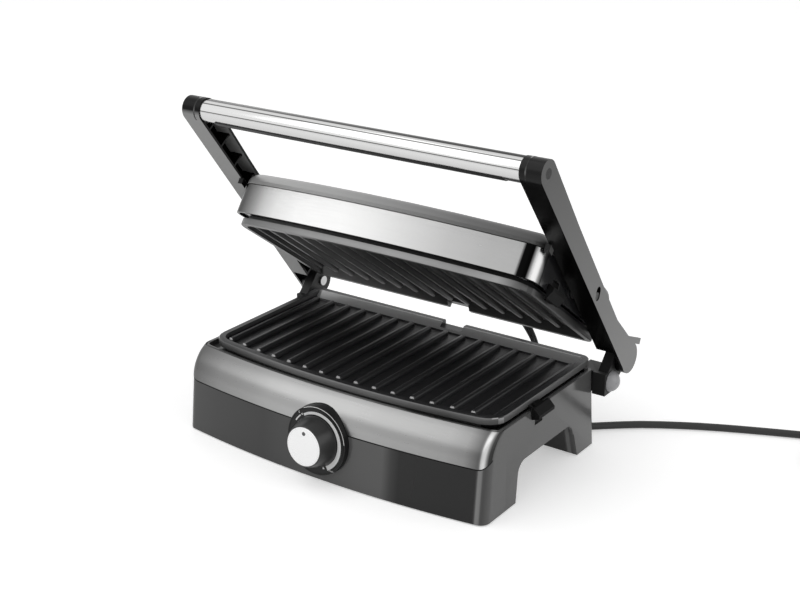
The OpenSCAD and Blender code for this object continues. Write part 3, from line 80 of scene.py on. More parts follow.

# %% [markdown]
# ## From mesh to piece
#
# Every finished piece is a mesh whose object stands at the origin, so patterns on Object
# coordinates stay put. `dress` links it to the scene, shades its gentle bends smooth, rides it on
# a body and gives it the material of its finish. `finish_piece` does the same for a bmesh and
# first makes its normals agree, since spin and mirror can turn a shape inside out.


# %% Piece helpers
def dress(name, mesh, body, material, smooth=35, replaced=()):
    mesh.polygons.foreach_set("use_smooth", [True] * len(mesh.polygons))
    mesh.set_sharp_from_angle(angle=math.radians(smooth))
    mesh.materials.clear()
    mesh.materials.append(material)
    piece = bpy.data.objects.new(name, mesh)
    bpy.context.scene.collection.objects.link(piece)
    if body:
        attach(piece, body)
    if replaced:
        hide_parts(*replaced)
    print("piece:", name)
    return piece


def finish_piece(name, bm, body, material, smooth=35, replaced=()):
    bmesh.ops.recalc_face_normals(bm, faces=bm.faces)
    mesh = bpy.data.meshes.new(name)
    bm.to_mesh(mesh)
    bm.free()
    return dress(name, mesh, body, material, smooth, replaced)


# %% What the record says of a node
def body_of(node):
    for body, members in frame["record"]["behaviour"]["bodies"].items():
        if node in members:
            return body


def slot_of(node):
    for part in frame["record"]["subparts"]:
        if part["node"] == node:
            return part["material_slot"]


print("arm_left rides on", body_of("arm_left"), "and takes", slot_of("arm_left"))

# %% [markdown]
# ## Materials as small node trees
#
# Each finish starts from a plain shader. Noise on Object coordinates then moves the roughness
# and, very slightly, the surface, because no moulded or coated surface is perfectly even.


# %% A plain shader
def new_material(name, colour, roughness, metallic=0.0):
    material = bpy.data.materials.new(name)
    material.use_nodes = True
    shader = shader_of(material)
    shader.inputs["Base Color"].default_value = (*colour, 1)
    shader.inputs["Roughness"].default_value = roughness
    shader.inputs["Metallic"].default_value = metallic
    return material


def shader_of(material):
    return material.node_tree.nodes["Principled BSDF"]


def specular(material, level):
    shader_of(material).inputs["Specular IOR Level"].default_value = level
    return material


# %% Nodes and links
def add_node(material, kind, **values):
    node = material.node_tree.nodes.new(kind)
    for key, value in values.items():
        if key in node.inputs:
            node.inputs[key].default_value = value
        else:
            setattr(node, key, value)
    return node


def link(material, source, target):
    material.node_tree.links.new(source, target)


def spread(material, value, start, end, low=0.0, high=1.0):
    """Maps a value that runs from start to end onto the range from low to high."""
    node = add_node(material, "ShaderNodeMapRange")
    ends = {"From Min": start, "From Max": end, "To Min": low, "To Max": high}
    for socket, number in ends.items():
        node.inputs[socket].default_value = number
    link(material, value, node.inputs["Value"])
    return node.outputs["Result"]


# %% Grain and brushed metal
def object_coordinates(material, **mapping_values):
    coordinates = add_node(material, "ShaderNodeTexCoord")
    mapping = add_node(material, "ShaderNodeMapping", **mapping_values)
    link(material, coordinates.outputs["Object"], mapping.inputs["Vector"])
    return mapping.outputs["Vector"]


def grain(material, scale, low, high, bump=0.0, stretch=(1, 1, 1), detail=3.0):
    """Noise that spreads the roughness between low and high, and raises the surface by bump mm."""
    noise = add_node(material, "ShaderNodeTexNoise", Scale=scale, Detail=detail)
    link(material, object_coordinates(material, Scale=stretch), noise.inputs["Vector"])
    roughness = spread(material, noise.outputs["Fac"], 0, 1, low, high)
    link(material, roughness, shader_of(material).inputs["Roughness"])
    if bump:
        relief = add_node(material, "ShaderNodeBump", Strength=0.6, Distance=bump * MM)
        link(material, noise.outputs["Fac"], relief.inputs["Height"])
        link(material, relief.outputs["Normal"], shader_of(material).inputs["Normal"])
    return material


def brushed(name, colour, roughness, along, metallic=1.0):
    """Metal with fine parallel lines along one axis: noise that is stretched out along it."""
    stretch = [900.0, 900.0, 900.0]
    stretch["XYZ".index(along)] = 12.0
    material = new_material(name, colour, roughness, metallic)
    return grain(material, 1.0, roughness - 0.07, roughness + 0.07, 0.012, stretch, 2.0)


# %% [markdown]
# ## Painted reflections: greys that follow the shape
#
# Gloss and bright metal mirror the room: a studio shows in them as long soft bands of grey. The
# room here is one plain white, so the bands are painted reflections, written into the colour as a
# ramp along an axis, round the handle or by the way a face looks, and stay put under other light.
# A stop of a ramp is its position from 0 to 1 and a grey from 0 to 255, as a screen shows it.


# %% Ramps of grey
def linear(shown):
    """The shader's linear value of a grey that a screen shows."""
    level = shown / 255
    return level / 12.92 if level < 0.04 else ((level + 0.055) / 1.055) ** 2.4


def colour_by(material, value, stops):
    """Lets a value from 0 to 1 choose the base colour from stops of grey."""
    ramp = add_node(material, "ShaderNodeValToRGB")
    elements = ramp.color_ramp.elements
    while len(elements) < len(stops):
        elements.new(0.5)
    for element, (position, _) in zip(elements, stops):
        element.position = position
    for element, (_, shown) in zip(elements, stops):
        grey = linear(shown)
        element.color = (grey, grey, grey * 0.995, 1)
    link(material, value, ramp.inputs["Fac"])
    link(material, ramp.outputs["Color"], shader_of(material).inputs["Base Color"])
    return material


def ramp_along(material, axis, start, end, stops):
    """Colours a material by stops of grey along one Object axis, from start to end in mm."""
    coordinates = add_node(material, "ShaderNodeTexCoord")
    split = add_node(material, "ShaderNodeSeparateXYZ")
    link(material, coordinates.outputs["Object"], split.inputs["Vector"])
    along = spread(material, split.outputs[axis], start * MM, end * MM)
    return colour_by(material, along, stops)


# %% Ramps by direction and height
def paint_light_by_facing(material, direction, low, high, light, dark):
    """Painted light: mixes two greys, and faces that look along a direction take the light one."""
    coordinates = add_node(material, "ShaderNodeTexCoord")
    facing = add_node(material, "ShaderNodeVectorMath", operation="DOT_PRODUCT")
    facing.inputs[1].default_value = direction
    link(material, coordinates.outputs["Normal"], facing.inputs[0])
    return colour_by(material, facing.outputs["Value"], [(low, dark), (high, light)])


def shade_by_height(material, start, end, stops):
    """Painted shade: multiplies the colour by greys along Object Z, from start to end in mm."""
    base_colour = shader_of(material).inputs["Base Color"]
    before = base_colour.links[0].from_socket
    ramp_along(material, "Z", start, end, stops)
    after = base_colour.links[0].from_socket
    product = add_node(material, "ShaderNodeMix", data_type="RGBA", blend_type="MULTIPLY")
    product.inputs["Factor"].default_value = 1.0
    factors = [socket for socket in product.inputs if socket.type == "RGBA"]
    link(material, before, factors[0])
    link(material, after, factors[1])
    result = [socket for socket in product.outputs if socket.type == "RGBA"][0]
    link(material, result, base_colour)
    return material


# %% Painted reflection bands round the handle
HANDLE_MIDDLE = Vector((0, 47.5 - BASE_MIDDLE, 297)) * MM


def paint_tube_reflections(material, stops):
    """Painted reflections by angle round the handle: 0 straight down, a third in front, two thirds
    up.
    """
    split = add_node(material, "ShaderNodeSeparateXYZ")
    front = add_node(material, "ShaderNodeMath", operation="MULTIPLY")
    front.inputs[1].default_value = -1
    angle = add_node(material, "ShaderNodeMath", operation="ARCTAN2")
    link(material, object_coordinates(material, Location=tuple(-HANDLE_MIDDLE)),
         split.inputs["Vector"])
    link(material, split.outputs["Y"], front.inputs[0])
    link(material, split.outputs["Z"], angle.inputs[0])
    link(material, front.outputs["Value"], angle.inputs[1])
    turn = spread(material, angle.outputs["Value"], -math.pi / 2, math.pi)
    return colour_by(material, turn, stops)


print("handle's middle:", HANDLE_MIDDLE)

# %% [markdown]
# ## Finishes of the base
#
# The base is black plastic with a high gloss. Its front and side get painted reflections of the
# room in dark and paler fields, with a painted highlight at the right corner. The trim is brushed
# sheet metal. Its stops of painted reflection run from the left corner to the right one, where it
# ends in a narrow painted highlight. The black strip under it is painted shade in the gap
# between two pieces.

# %% Base and trim
housing_gloss = grain(new_material("base gloss", (0.018, 0.018, 0.019), 0.16), 60, 0.12, 0.2)
# Painted reflections of the room, and a painted highlight at the right corner.
ramp_along(specular(housing_gloss, 0.3), "X", -165, 165, [
    (0.0, 72), (0.12, 64), (0.3, 60), (0.42, 76), (0.5, 90), (0.7, 90), (0.725, 55), (0.75, 25),
    (0.9, 22), (0.968, 22), (0.972, 128), (0.98, 128), (0.985, 62), (0.992, 76), (1.0, 92)])
trim_metal = brushed("front trim metal", (0.33, 0.33, 0.335), 0.3, "X")
# Painted reflections along the trim, and a painted highlight at its right end.
ramp_along(trim_metal, "X", -165, 165, [
    (0.0, 60), (0.02, 96), (0.06, 112), (0.12, 130), (0.18, 138), (0.25, 146), (0.31, 156),
    (0.38, 160), (0.58, 158), (0.68, 152), (0.8, 148), (0.88, 143), (0.93, 130), (0.96, 100),
    (0.972, 84), (0.978, 200), (0.985, 200), (0.99, 60), (1.0, 40)])
# Black for the latches, and for a strip of painted shade in the gap under the trim.
gap_shade_and_latch_black = grain(new_material("gap shade and latch black", (0.004, 0.004, 0.004), 0.6), 900, 0.5, 0.7)
specular(gap_shade_and_latch_black, 0.1)
rubber = grain(new_material("foot rubber", (0.02, 0.02, 0.02), 0.8), 700, 0.7, 0.9, 0.04)
print("base:", housing_gloss.name, trim_metal.name, gap_shade_and_latch_black.name, rubber.name)

# %% [markdown]
# ## Finishes of the arms and the handle
#
# The arms are gloss black plastic. The right arm's outer face gets a painted reflection of the
# pale room and painted shade that darkens it towards the handle, and the left arm gets a painted
# highlight along its front edge. The handle is a polished tube, and its reflection of the room
# in straight stripes along its length is painted too, as are the bands on its black collars.

# %% Arms, collars and tube
RIGHT, FRONT_BELOW = (1, 0, 0), (0, -0.835, -0.55)
arm_gloss = grain(new_material("arm gloss", (0.03, 0.03, 0.031), 0.24), 80, 0.2, 0.3)
# Painted reflection: the right arm's outer face, turned to the right, takes a pale grey.
paint_light_by_facing(specular(arm_gloss, 0.2), RIGHT, 0.6, 0.85, 255, 14)
# Painted shade, darker towards the handle.
shade_by_height(arm_gloss, 90, 300, [(0.0, 126), (0.3, 112), (0.7, 96), (1.0, 78)])
arm_left_gloss = grain(new_material("left arm gloss", (0.03, 0.03, 0.031), 0.24), 80, 0.2, 0.3)
# Painted highlight along the left arm's front edge.
paint_light_by_facing(specular(arm_left_gloss, 0.12), FRONT_BELOW, 0.75, 0.95, 152, 4)
tube_chrome = brushed("handle tube metal", (0.8, 0.8, 0.8), 0.16, "X")
# Painted reflection stripes along the handle tube.
paint_tube_reflections(tube_chrome, [
    (0.0, 130), (0.093, 150), (0.188, 192), (0.355, 206), (0.363, 206), (0.369, 96), (0.379, 96),
    (0.385, 225), (0.508, 225), (0.515, 104), (0.532, 104), (0.54, 220), (0.59, 205), (0.6, 66),
    (0.68, 66), (0.7, 120), (0.76, 150), (1.0, 150)])
collar_gloss = grain(new_material("collar gloss", (0.02, 0.02, 0.02), 0.25), 200, 0.2, 0.3)
# Painted reflection bands on the collars.
paint_tube_reflections(specular(collar_gloss, 0.25), [
    (0.0, 20), (0.2, 20), (0.3, 30), (0.36, 100), (0.42, 60), (0.46, 14), (0.6, 14), (0.62, 150),
    (0.66, 150), (0.68, 14), (1.0, 14)])
print("arms:", arm_gloss.name, arm_left_gloss.name, tube_chrome.name, collar_gloss.name)

# %% [markdown]
# ## Finishes of the lid
#
# The lid's sides are gloss black plastic. The band in front is brushed metal with a painted
# reflection that fades from pale to grey and shows one black field near its right corner, where
# it mirrors the dark arm, and a painted highlight at its end. The cover is satin painted grey,
# and painted light and shade make it paler at the left and darker towards the right.

# %% Lid, band and cover
lid_gloss = grain(new_material("lid side gloss", (0.014, 0.014, 0.015), 0.17), 60, 0.13, 0.22)
band_metal = brushed("lid band metal", (0.62, 0.62, 0.63), 0.24, "X")
# Painted reflection along the band, with a painted highlight near its right end.
ramp_along(band_metal, "X", -162.5, 162.5, [
    (0.0, 30), (0.02, 50), (0.05, 112), (0.1, 164), (0.16, 188), (0.24, 198), (0.4, 196),
    (0.5, 186), (0.62, 168), (0.74, 150), (0.86, 139), (0.945, 137), (0.952, 8), (0.978, 8),
    (0.984, 190), (0.996, 190), (1.0, 20)])
cover_satin = grain(new_material("lid cover satin", (0.26, 0.26, 0.265), 0.38, 0.6),
                    900, 0.34, 0.46, 0.012)
# Painted light and shade across the cover, darker towards the right.
ramp_along(cover_satin, "X", -162.5, 162.5, [
    (0.0, 180), (0.12, 176), (0.35, 164), (0.5, 146), (0.6, 132), (0.78, 104), (1.0, 76)])
print("lid:", lid_gloss.name, band_metal.name, cover_satin.name)

# %% [markdown]
# ## Finishes of small pieces
#
# Knob, brackets and bushes are moulded with a fine texture, which a strong noise with a small
# bump gives. Steel parts are brushed or drawn metal, and the pieces inside are the ceramic,
# terminal plastic and sleeved wire that a heating appliance holds.

# %% Plastic, print and cord
plastic_black = grain(new_material("black plastic", (0.01, 0.01, 0.01), 0.42),
                      500, 0.36, 0.5, 0.02)
specular(plastic_black, 0.25)
knob_black = grain(new_material("knob black", (0.012, 0.012, 0.012), 0.32), 600, 0.27, 0.4, 0.02)
button_grey = grain(new_material("button grey", (0.34, 0.34, 0.35), 0.2), 200, 0.14, 0.24)
# Grey of the printed scale, also used for a painted highlight on the dial plate's edge.
print_and_glint_grey = grain(new_material("scale print and edge glint grey", (0.78, 0.78, 0.78), 0.5), 900, 0.45, 0.6)
dot_grey = grain(new_material("pointer dot grey", (0.09, 0.09, 0.09), 0.5), 900, 0.45, 0.6)
cord_black = grain(new_material("cord sleeve", (0.012, 0.012, 0.012), 0.45),
                   500, 0.38, 0.55, 0.03)
print("small pieces:", plastic_black.name, knob_black.name, button_grey.name, cord_black.name)

# %% Metal and what lies inside
screw_steel = brushed("screw steel", (0.5, 0.5, 0.5), 0.34, "Z")
pan_steel = brushed("pan steel", (0.62, 0.62, 0.62), 0.28, "X")
spring_steel = brushed("spring wire", (0.6, 0.6, 0.6), 0.25, "X")
prong_metal = brushed("prong metal", (0.66, 0.6, 0.4), 0.25, "Y")
pivot_steel = grain(new_material("pivot dark steel", (0.05, 0.05, 0.05), 0.35, 0.9),
                    300, 0.3, 0.45)
heater_steel = grain(new_material("heater steel", (0.3, 0.29, 0.28), 0.45, 1.0), 300, 0.38, 0.55)
ceramic_cream = grain(new_material("thermostat ceramic", (0.72, 0.68, 0.58), 0.5), 300, 0.4, 0.6)
terminal_plastic = grain(new_material("terminal plastic", (0.78, 0.78, 0.75), 0.4),
                         300, 0.35, 0.5)
wire_sleeve = grain(new_material("wire sleeve", (0.4, 0.05, 0.04), 0.4), 400, 0.35, 0.5)
print("inside:", pan_steel.name, heater_steel.name, ceramic_cream.name, wire_sleeve.name)

# %% [markdown]
# ## Non-stick coating
#
# The plates are cast metal under a dark speckled coating: nearly black, slightly rough, with a
# sparkle of pale flecks. A fine noise through a steep colour ramp gives the flecks. The outer
# walls of the plates are the same coating with a painted reflection of the pale table, so they
# are lighter, and the upper plate's face gets painted reflections across it.

# %% Coating of the lower plate
plate_coating = grain(new_material("plate coating", (0.02, 0.02, 0.02), 0.4, 0.2),
                      1500, 0.3, 0.48, 0.05)
flecks = add_node(plate_coating, "ShaderNodeTexNoise", Scale=2600.0, Detail=1.0)
fleck_ramp = add_node(plate_coating, "ShaderNodeValToRGB")
coat, fleck = fleck_ramp.color_ramp.elements
coat.position, coat.color = 0.62, (0.018, 0.018, 0.019, 1)
fleck.position, fleck.color = 0.8, (0.09, 0.09, 0.09, 1)
link(plate_coating, object_coordinates(plate_coating), flecks.inputs["Vector"])
link(plate_coating, flecks.outputs["Fac"], fleck_ramp.inputs["Fac"])
link(plate_coating, fleck_ramp.outputs["Color"], shader_of(plate_coating).inputs["Base Color"])
print("coating with flecks:", plate_coating.name)

# %% Coating of the upper plate and of the rims, with painted reflections
upper_coating = grain(new_material("upper plate coating", (0.03, 0.03, 0.03), 0.4, 0.2),
                      1500, 0.3, 0.48, 0.05)
# Painted reflections across the upper plate's face.
ramp_along(upper_coating, "X", -155, 155, [
    (0.0, 50), (0.12, 112), (0.28, 100), (0.5, 62), (0.75, 56), (1.0, 40)])
lower_rim_reflection = grain(new_material("lower rim coating with painted reflection", (0.1, 0.1, 0.1), 0.35), 1500, 0.3, 0.42, 0.03)
# Painted reflection of the pale table on the lower rim.
ramp_along(specular(lower_rim_reflection, 0.4), "X", -158, 158, [
    (0.0, 60), (0.1, 84), (0.3, 112), (0.6, 112), (0.85, 92), (0.96, 110), (1.0, 104)])
upper_rim_reflection = grain(new_material("upper rim coating with painted reflection", (0.2, 0.2, 0.2), 0.35), 1500, 0.3, 0.42, 0.03)
# Painted reflection of the pale table on the upper rim.
ramp_along(specular(upper_rim_reflection, 0.5), "X", -155, 155, [
    (0.0, 96), (0.1, 124), (0.3, 158), (0.6, 168), (0.8, 150), (0.92, 170), (0.97, 110),
    (1.0, 60)])
# Painted highlight for the front ends of the ribs.
rib_glint = grain(new_material("rib end painted glint", (0.4, 0.4, 0.4), 0.3, 0.3), 1500, 0.25, 0.35)
print("coatings:", upper_coating.name, lower_rim_reflection.name, upper_rim_reflection.name, rib_glint.name)

# %% [markdown]
# ## Spun knob face
#
# The face of the knob is turned metal: its lines are circles round the knob's axis. Rings of a
# Wave texture, centred on that axis by a Mapping node, make the roughness rise and fall.

# %% Knob face metal
DIAL_Y, DIAL_Z, DIAL_TILT = -14.5, 39.0, math.radians(5)
DIAL_AT = Vector((0, DIAL_Y - BASE_MIDDLE, DIAL_Z)) * MM
cap_metal = new_material("knob face metal", (0.78, 0.78, 0.78), 0.3, 1.0)
cap_rings = add_node(cap_metal, "ShaderNodeTexWave", Scale=900.0, Distortion=1.0,
                     wave_type="RINGS", rings_direction="Y")
link(cap_metal, object_coordinates(cap_metal, Location=tuple(-DIAL_AT)),
     cap_rings.inputs["Vector"])
link(cap_metal, spread(cap_metal, cap_rings.outputs["Fac"], 0, 1, 0.24, 0.4),
     shader_of(cap_metal).inputs["Roughness"])
print("knob's axis starts at", DIAL_AT)

# %% [markdown]
# ## Every solid takes its finish
#
# The record names a material slot for each node, and this table says which finish a slot gets.
# The pivot shaft and its clips are darker than other steel, so they have a finish of their own.

# %% Finishes of the CAD nodes
FINISH = {
    "housing_gloss": housing_gloss, "trim_metal": trim_metal, "plastic_black": plastic_black,
    "arm_gloss": arm_gloss, "rubber": rubber, "screw_steel": screw_steel, "pan_steel": pan_steel,
    "plate_coating": plate_coating, "heater_steel": heater_steel,
    "thermostat_body": ceramic_cream, "scale_print": plastic_black,
    "terminal_plastic": terminal_plastic, "wire_sleeve": wire_sleeve, "cord_black": cord_black,
    "prong_metal": prong_metal, "spring_steel": spring_steel, "knob_black": knob_black,
    "cap_metal": cap_metal, "button_grey": button_grey, "tube_chrome": tube_chrome,
    "lid_gloss": lid_gloss, "band_metal": band_metal, "cover_satin": cover_satin,
}
for node, solid in NODES.items():
    solid.data.materials.clear()
    finish = pivot_steel if node in ("lid_pivot_shaft", "pivot_clips") else FINISH[slot_of(node)]
    solid.data.materials.append(finish)
print("finished nodes:", len(NODES))

# %% [markdown]
# ## Mains cord
#
# The flex leaves the gland under the base, drops to the table in a soft bend and runs off to the
# right, where the length that isn't needed lies in a tied coil of two layers. Its route repeats
# the CAD's own points, so the tube lies where the solid lies. The coil comes from a formula: a
# spiral inwards, half a turn of climb, and a spiral out again on top.

# %% Cord route
CORD_R = 3.5
COIL_TURNS, COIL_R, COIL_LEAD = 3.25, 43.0, 8.0
COIL_STEP = 2 * CORD_R + 1
COIL_RING = 15  # degrees from one point of the coil to the next
cord_points = [(112, 71.5, 22), (118, 79.5, 22), (123, 86, 21), (128, 92, 18.2),
               (134, 98.7, 12.8), (140, 105.1, 7.4), (145.5, 110.7, 4.5), (151, 116, 3.6),
               (162, 125.6, 3.6), (174, 135.7, 3.6), (187, 145.7, 3.6), (202, 155.4, 3.6),
               (218, 164.8, 3.6), (234, 173.6, 3.6), (251, 182, 3.6), (268, 189.8, 3.6),
               (285, 197.2, 3.6), (301, 204, 3.6), (316, 210.2, 3.6), (331, 216, 3.6),
               (345, 220.8, 3.8), (356, 223.8, 4.2), (367, 225, 4.4), (376, 225, 4.4)]
coil_x, coil_y = cord_points[-1][0] + COIL_LEAD, cord_points[-1][1] - COIL_R
coil_low = cord_points[-1][2]
half_turns = COIL_TURNS * 180


def coil_point(angle):
    radius = COIL_R - COIL_STEP * (half_turns - abs(angle - half_turns)) / 360
    climb = min(max((angle - half_turns + 90) / 180, 0), 1)
    height = coil_low + COIL_STEP * climb * climb * (3 - 2 * climb)
    turn = math.radians(angle)
    return (coil_x + radius * math.sin(turn), coil_y + radius * math.cos(turn), height)


coil_points = [coil_point(step * COIL_RING) for step in range(int(2 * half_turns / COIL_RING) + 1)]
coil_end = coil_points[-1]
plug_start = (coil_end[0], coil_end[1] - COIL_LEAD, coil_end[2])
route = [Vector(place) * MM for place in cord_points + coil_points + [plug_start]]

# %% [markdown]
# A curve with a round bevel is the plain way to make a cord: one unbroken tube along the route.
# Its plug is a solid of the CAD. A merged copy of that solid gets a Bevel modifier, because no
# moulded piece has sharp edges, and the same helper rounds the large shells further on.


# %% Rounded copies
def rounded_copy(node, radius, material, segments=2, angle=38, smooth=32):
    """A copy of a CAD node, merged, with its hard edges rounded by a bevel."""
    bm = bmesh.new()
    bm.from_mesh(NODES[node].data)
    bmesh.ops.remove_doubles(bm, verts=bm.verts, dist=2e-5)
    bmesh.ops.dissolve_limit(bm, angle_limit=math.radians(1), verts=bm.verts, edges=bm.edges)
    mesh = bpy.data.meshes.new(node + "_soft")
    bm.to_mesh(mesh)
    bm.free()
    piece = dress(node + "_soft", mesh, body_of(node), material, smooth, [node])
    bevel = piece.modifiers.new("round edges", "BEVEL")
    bevel.width = radius * MM
    bevel.segments = segments
    bevel.limit_method = "ANGLE"
    bevel.angle_limit = math.radians(angle)
    bevel.use_clamp_overlap = True
    bevel.harden_normals = True
    return piece


# %% Tubes along points
def tube_curve(name, radius, strands):
    """A curve object with one round tube of the radius, in mm, along each strand of points."""
    curve = bpy.data.curves.new(name, "CURVE")
    curve.dimensions = "3D"
    curve.bevel_depth = radius * MM
    curve.bevel_resolution = 3
    curve.use_fill_caps = True
    for places in strands:
        spline = curve.splines.new("POLY")
        spline.points.add(len(places) - 1)
        spline.use_smooth = True
        for point, place in zip(spline.points, places):
            point.co = (*place, 1)
    tube = bpy.data.objects.new(name, curve)
    bpy.context.scene.collection.objects.link(tube)
    return tube


# %% Cord and plug
cord = tube_curve("mains_cord", CORD_R, [route])
cord.data.materials.append(cord_black)
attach(cord, "base")
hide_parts("power_cord", "cord_coil")
plug = rounded_copy("power_plug", 0.8, cord_black)
print("cord leaves at", route[0])

# %% [markdown]
# ## Large shells
#
# The base, the lid, the arms and the plates are moulded or cast, so none of their edges is sharp.
# Each gets a rounded copy: the bevel takes only its hard edges, and the gentle bends between its
# facets are shaded smooth. The plates bend more sharply, so their limits are wider.

# %% Shells with rounded edges
rounded_copy("base_housing", 0.6, housing_gloss)
lower_plate = rounded_copy("lower_grill_plate", 0.35, plate_coating, 2, 50, 40)
upper_plate = rounded_copy("upper_grill_plate", 0.35, upper_coating, 2, 50, 40)
for node, radius, material in (
        ("lid_housing", 0.5, lid_gloss), ("lid_band", 0.3, band_metal),
        ("lid_cover", 0.4, cover_satin), ("arm_left", 0.5, arm_left_gloss),
        ("arm_right", 0.5, arm_gloss), ("hinge_bracket_left", 0.5, plastic_black),
        ("hinge_bracket_right", 0.5, plastic_black), ("lower_plate_latch", 0.5, gap_shade_and_latch_black),
        ("upper_plate_latch", 0.5, gap_shade_and_latch_black), ("dial_boss", 0.5, plastic_black),
        ("cord_strain_relief", 0.25, cord_black)):
    rounded_copy(node, radius, material)

# %% [markdown]
# ## Painted reflections on the rims of the plates
#
# The outer walls of the plates stand nearly upright, so they mirror the pale table where the
# cooking faces mirror each other. That reflection is painted: they get a lighter version of the
# same coating. A face belongs to the outer wall when it looks outwards and lies close to the
# plate's bowed front or its side. On the lower plate the front ends of the ribs catch the light,
# and get the palest finish as a painted highlight.

# %% Painted reflections on the outer walls
PLATE_HALF, PLATE_BOW = 157.5, 13.7
RIM_DEPTH = 5.0
RIB_GLINT_Z = 79.9
LID_OPEN = math.radians(35.65)


def paint_rim_and_rib_light(plate, front, material, rib_ends):
    """Gives the outer wall a painted reflection and, with rib_ends, the rib ends a painted
    highlight; front is the way that the wall looks.
    """
    def reach(place):
        return place.dot(front) / MM + PLATE_BOW * (place.x / MM / PLATE_HALF) ** 2

    mesh = plate.data
    mesh.materials.append(material)
    mesh.materials.append(rib_glint)
    foremost = max(reach(vert.co) for vert in mesh.vertices)
    widest = max(vert.co.x for vert in mesh.vertices)
    for face in mesh.polygons:
        ahead = face.normal.dot(front) > 0.45 and foremost - reach(face.center) < RIM_DEPTH
        beside = (abs(face.normal.x) > 0.6
                  and widest - abs(face.center.x) < RIM_DEPTH * MM)
        if ahead or beside:
            face.material_index = 1
        elif rib_ends and face.normal.dot(front) > 0.3 and face.center.z > RIB_GLINT_Z * MM:
            face.material_index = 2
    print("rim faces:", sum(face.material_index == 1 for face in mesh.polygons))


paint_rim_and_rib_light(lower_plate, Vector((0, -1, 0)), lower_rim_reflection, True)
paint_rim_and_rib_light(upper_plate, Vector((0, -math.cos(LID_OPEN), math.sin(LID_OPEN))), upper_rim_reflection, False)

# %% [markdown]
# ## Base front and its trim
#
# The front of the real base is one moulded wall, bowed forward, leaning back and rolled over at
# the top, with a skin of brushed sheet metal let into its upper half. Gloss shows every uneven
# facet, so a smooth surface needs regular cells: a grid is laid on the exact shape of the wall,
# which these functions repeat from the CAD. A station is a place along the wall: from 0 in the
# middle to 1 where the bowed front ends, 2 where the corner ends and 3 at the end of the side.

# %% Wall of the base, in the CAD's own numbers
BASE_HALF, BASE_TOP, BOW, CORNER = 165.0, 78.0, 12.8, 9.0
NOSE_Z, NOSE_FRONT, NOSE_R = 50.0, -7.9, 30.6
TRIM_SIDE_END, TRIM_CORNER = 33.2, 12.0


def front_line(height):
    """Depth of the wall in the middle: a straight lean, then the rolled top."""
    if height <= NOSE_Z:
        return (NOSE_FRONT + BOW) * height / NOSE_Z - BOW
    return NOSE_FRONT + NOSE_R - math.sqrt(NOSE_R ** 2 - (height - NOSE_Z) ** 2)


def half_width(height, proud):
    return BASE_HALF - height / BASE_TOP + proud


def wall_point(station, height, proud):
    """Plan position of a station, at a height, this far proud of the wall."""
    half = half_width(height, proud)
    front = front_line(height) - proud
    corner = CORNER + proud
    slope = math.atan(2 * BOW * (half - corner) / half ** 2)
    turn_x = half - corner + corner * math.sin(slope)
    centre_y = front + BOW * (turn_x / half) ** 2 + corner * math.cos(slope)
    part = abs(station)
    if part <= 1:
        x, y = turn_x * part, front + BOW * (turn_x * part / half) ** 2
    elif part <= 2:
        angle = slope - math.pi / 2 + (math.pi / 2 - slope) * (part - 1)
        x, y = half - corner + corner * math.cos(angle), centre_y + corner * math.sin(angle)
    else:
        x, y = half, centre_y + (TRIM_SIDE_END - centre_y) * (part - 2)
    return math.copysign(x, station), y


print("wall's middle and side at the nose:", wall_point(0, NOSE_Z, 0), wall_point(3, NOSE_Z, 0))

# %% [markdown]
# The dial sits in a round hole of the wall. A boolean would leave slivers in the grid, so the
# cells inside the hole's circle are deleted, and the ragged rim is drawn out onto the circle.

# %% Hole for the dial
DIAL_HOLE = 31.9
DIAL_UP = Vector((0, math.sin(DIAL_TILT), math.cos(DIAL_TILT)))


def dial_place(place):
    """Right and up from the dial's middle, in the tilted plane of the dial."""
    return place.x, (place - Vector((0, DIAL_Y, DIAL_Z))).dot(DIAL_UP)


def cut_dial_hole(bm, proud):
    lowest = min(vert.co.z for vert in bm.verts)
    inside = [face for face in bm.faces
              if math.hypot(*dial_place(face.calc_center_median())) < DIAL_HOLE]
    rim = {vert for face in inside for vert in face.verts}
    bmesh.ops.delete(bm, geom=inside, context="FACES")
    for vert in rim:
        if not vert.is_valid:
            continue
        right, up = dial_place(vert.co)
        if vert.is_boundary and abs(vert.co.z - lowest) < 0.01:
            x, height = math.copysign(math.sqrt(DIAL_HOLE ** 2 - up * up), right), vert.co.z
        else:
            grow = DIAL_HOLE / math.hypot(right, up)
            x, height = right * grow, vert.co.z + (up * grow - up) * DIAL_UP.z
        bulge = BOW * (x / half_width(height, proud)) ** 2
        vert.co = Vector((x, front_line(height) - proud + bulge, height))


# %% Sheets on the wall
WALL_END, FRONT_SHARE, CORNER_SHARE = 3.0, 0.8, 0.1
SHEET_COLUMNS, SPAN_HEIGHT = 200, 60


def column_station(across, last):
    """Station of a grid column: even on a sheet that ends early, else mostly on the front."""
    if last < WALL_END:
        return across * last
    part = abs(across)
    station = part / FRONT_SHARE if part < FRONT_SHARE else 1 + (part - FRONT_SHARE) / CORNER_SHARE
    return math.copysign(min(station, last), across)


def wall_skin(name, low, high, rows, proud, material, last=WALL_END, replaced=()):
    """A sheet on the wall from height low(x) to high(x), out to station last."""
    bm = bmesh.new()
    bmesh.ops.create_grid(bm, x_segments=SHEET_COLUMNS, y_segments=rows, size=1)
    for vert in bm.verts:
        station = column_station(vert.co.x, last)
        x = wall_point(station, SPAN_HEIGHT, proud)[0]
        height = low(x) + (high(x) - low(x)) * (vert.co.y + 1) / 2
        vert.co = Vector((*wall_point(station, height, proud), height))
    cut_dial_hole(bm, proud)
    bmesh.ops.translate(bm, vec=(0, -BASE_MIDDLE, 0), verts=bm.verts)
    bmesh.ops.scale(bm, vec=(MM, MM, MM), verts=bm.verts)
    return finish_piece(name, bm, "base", material, 40, replaced)


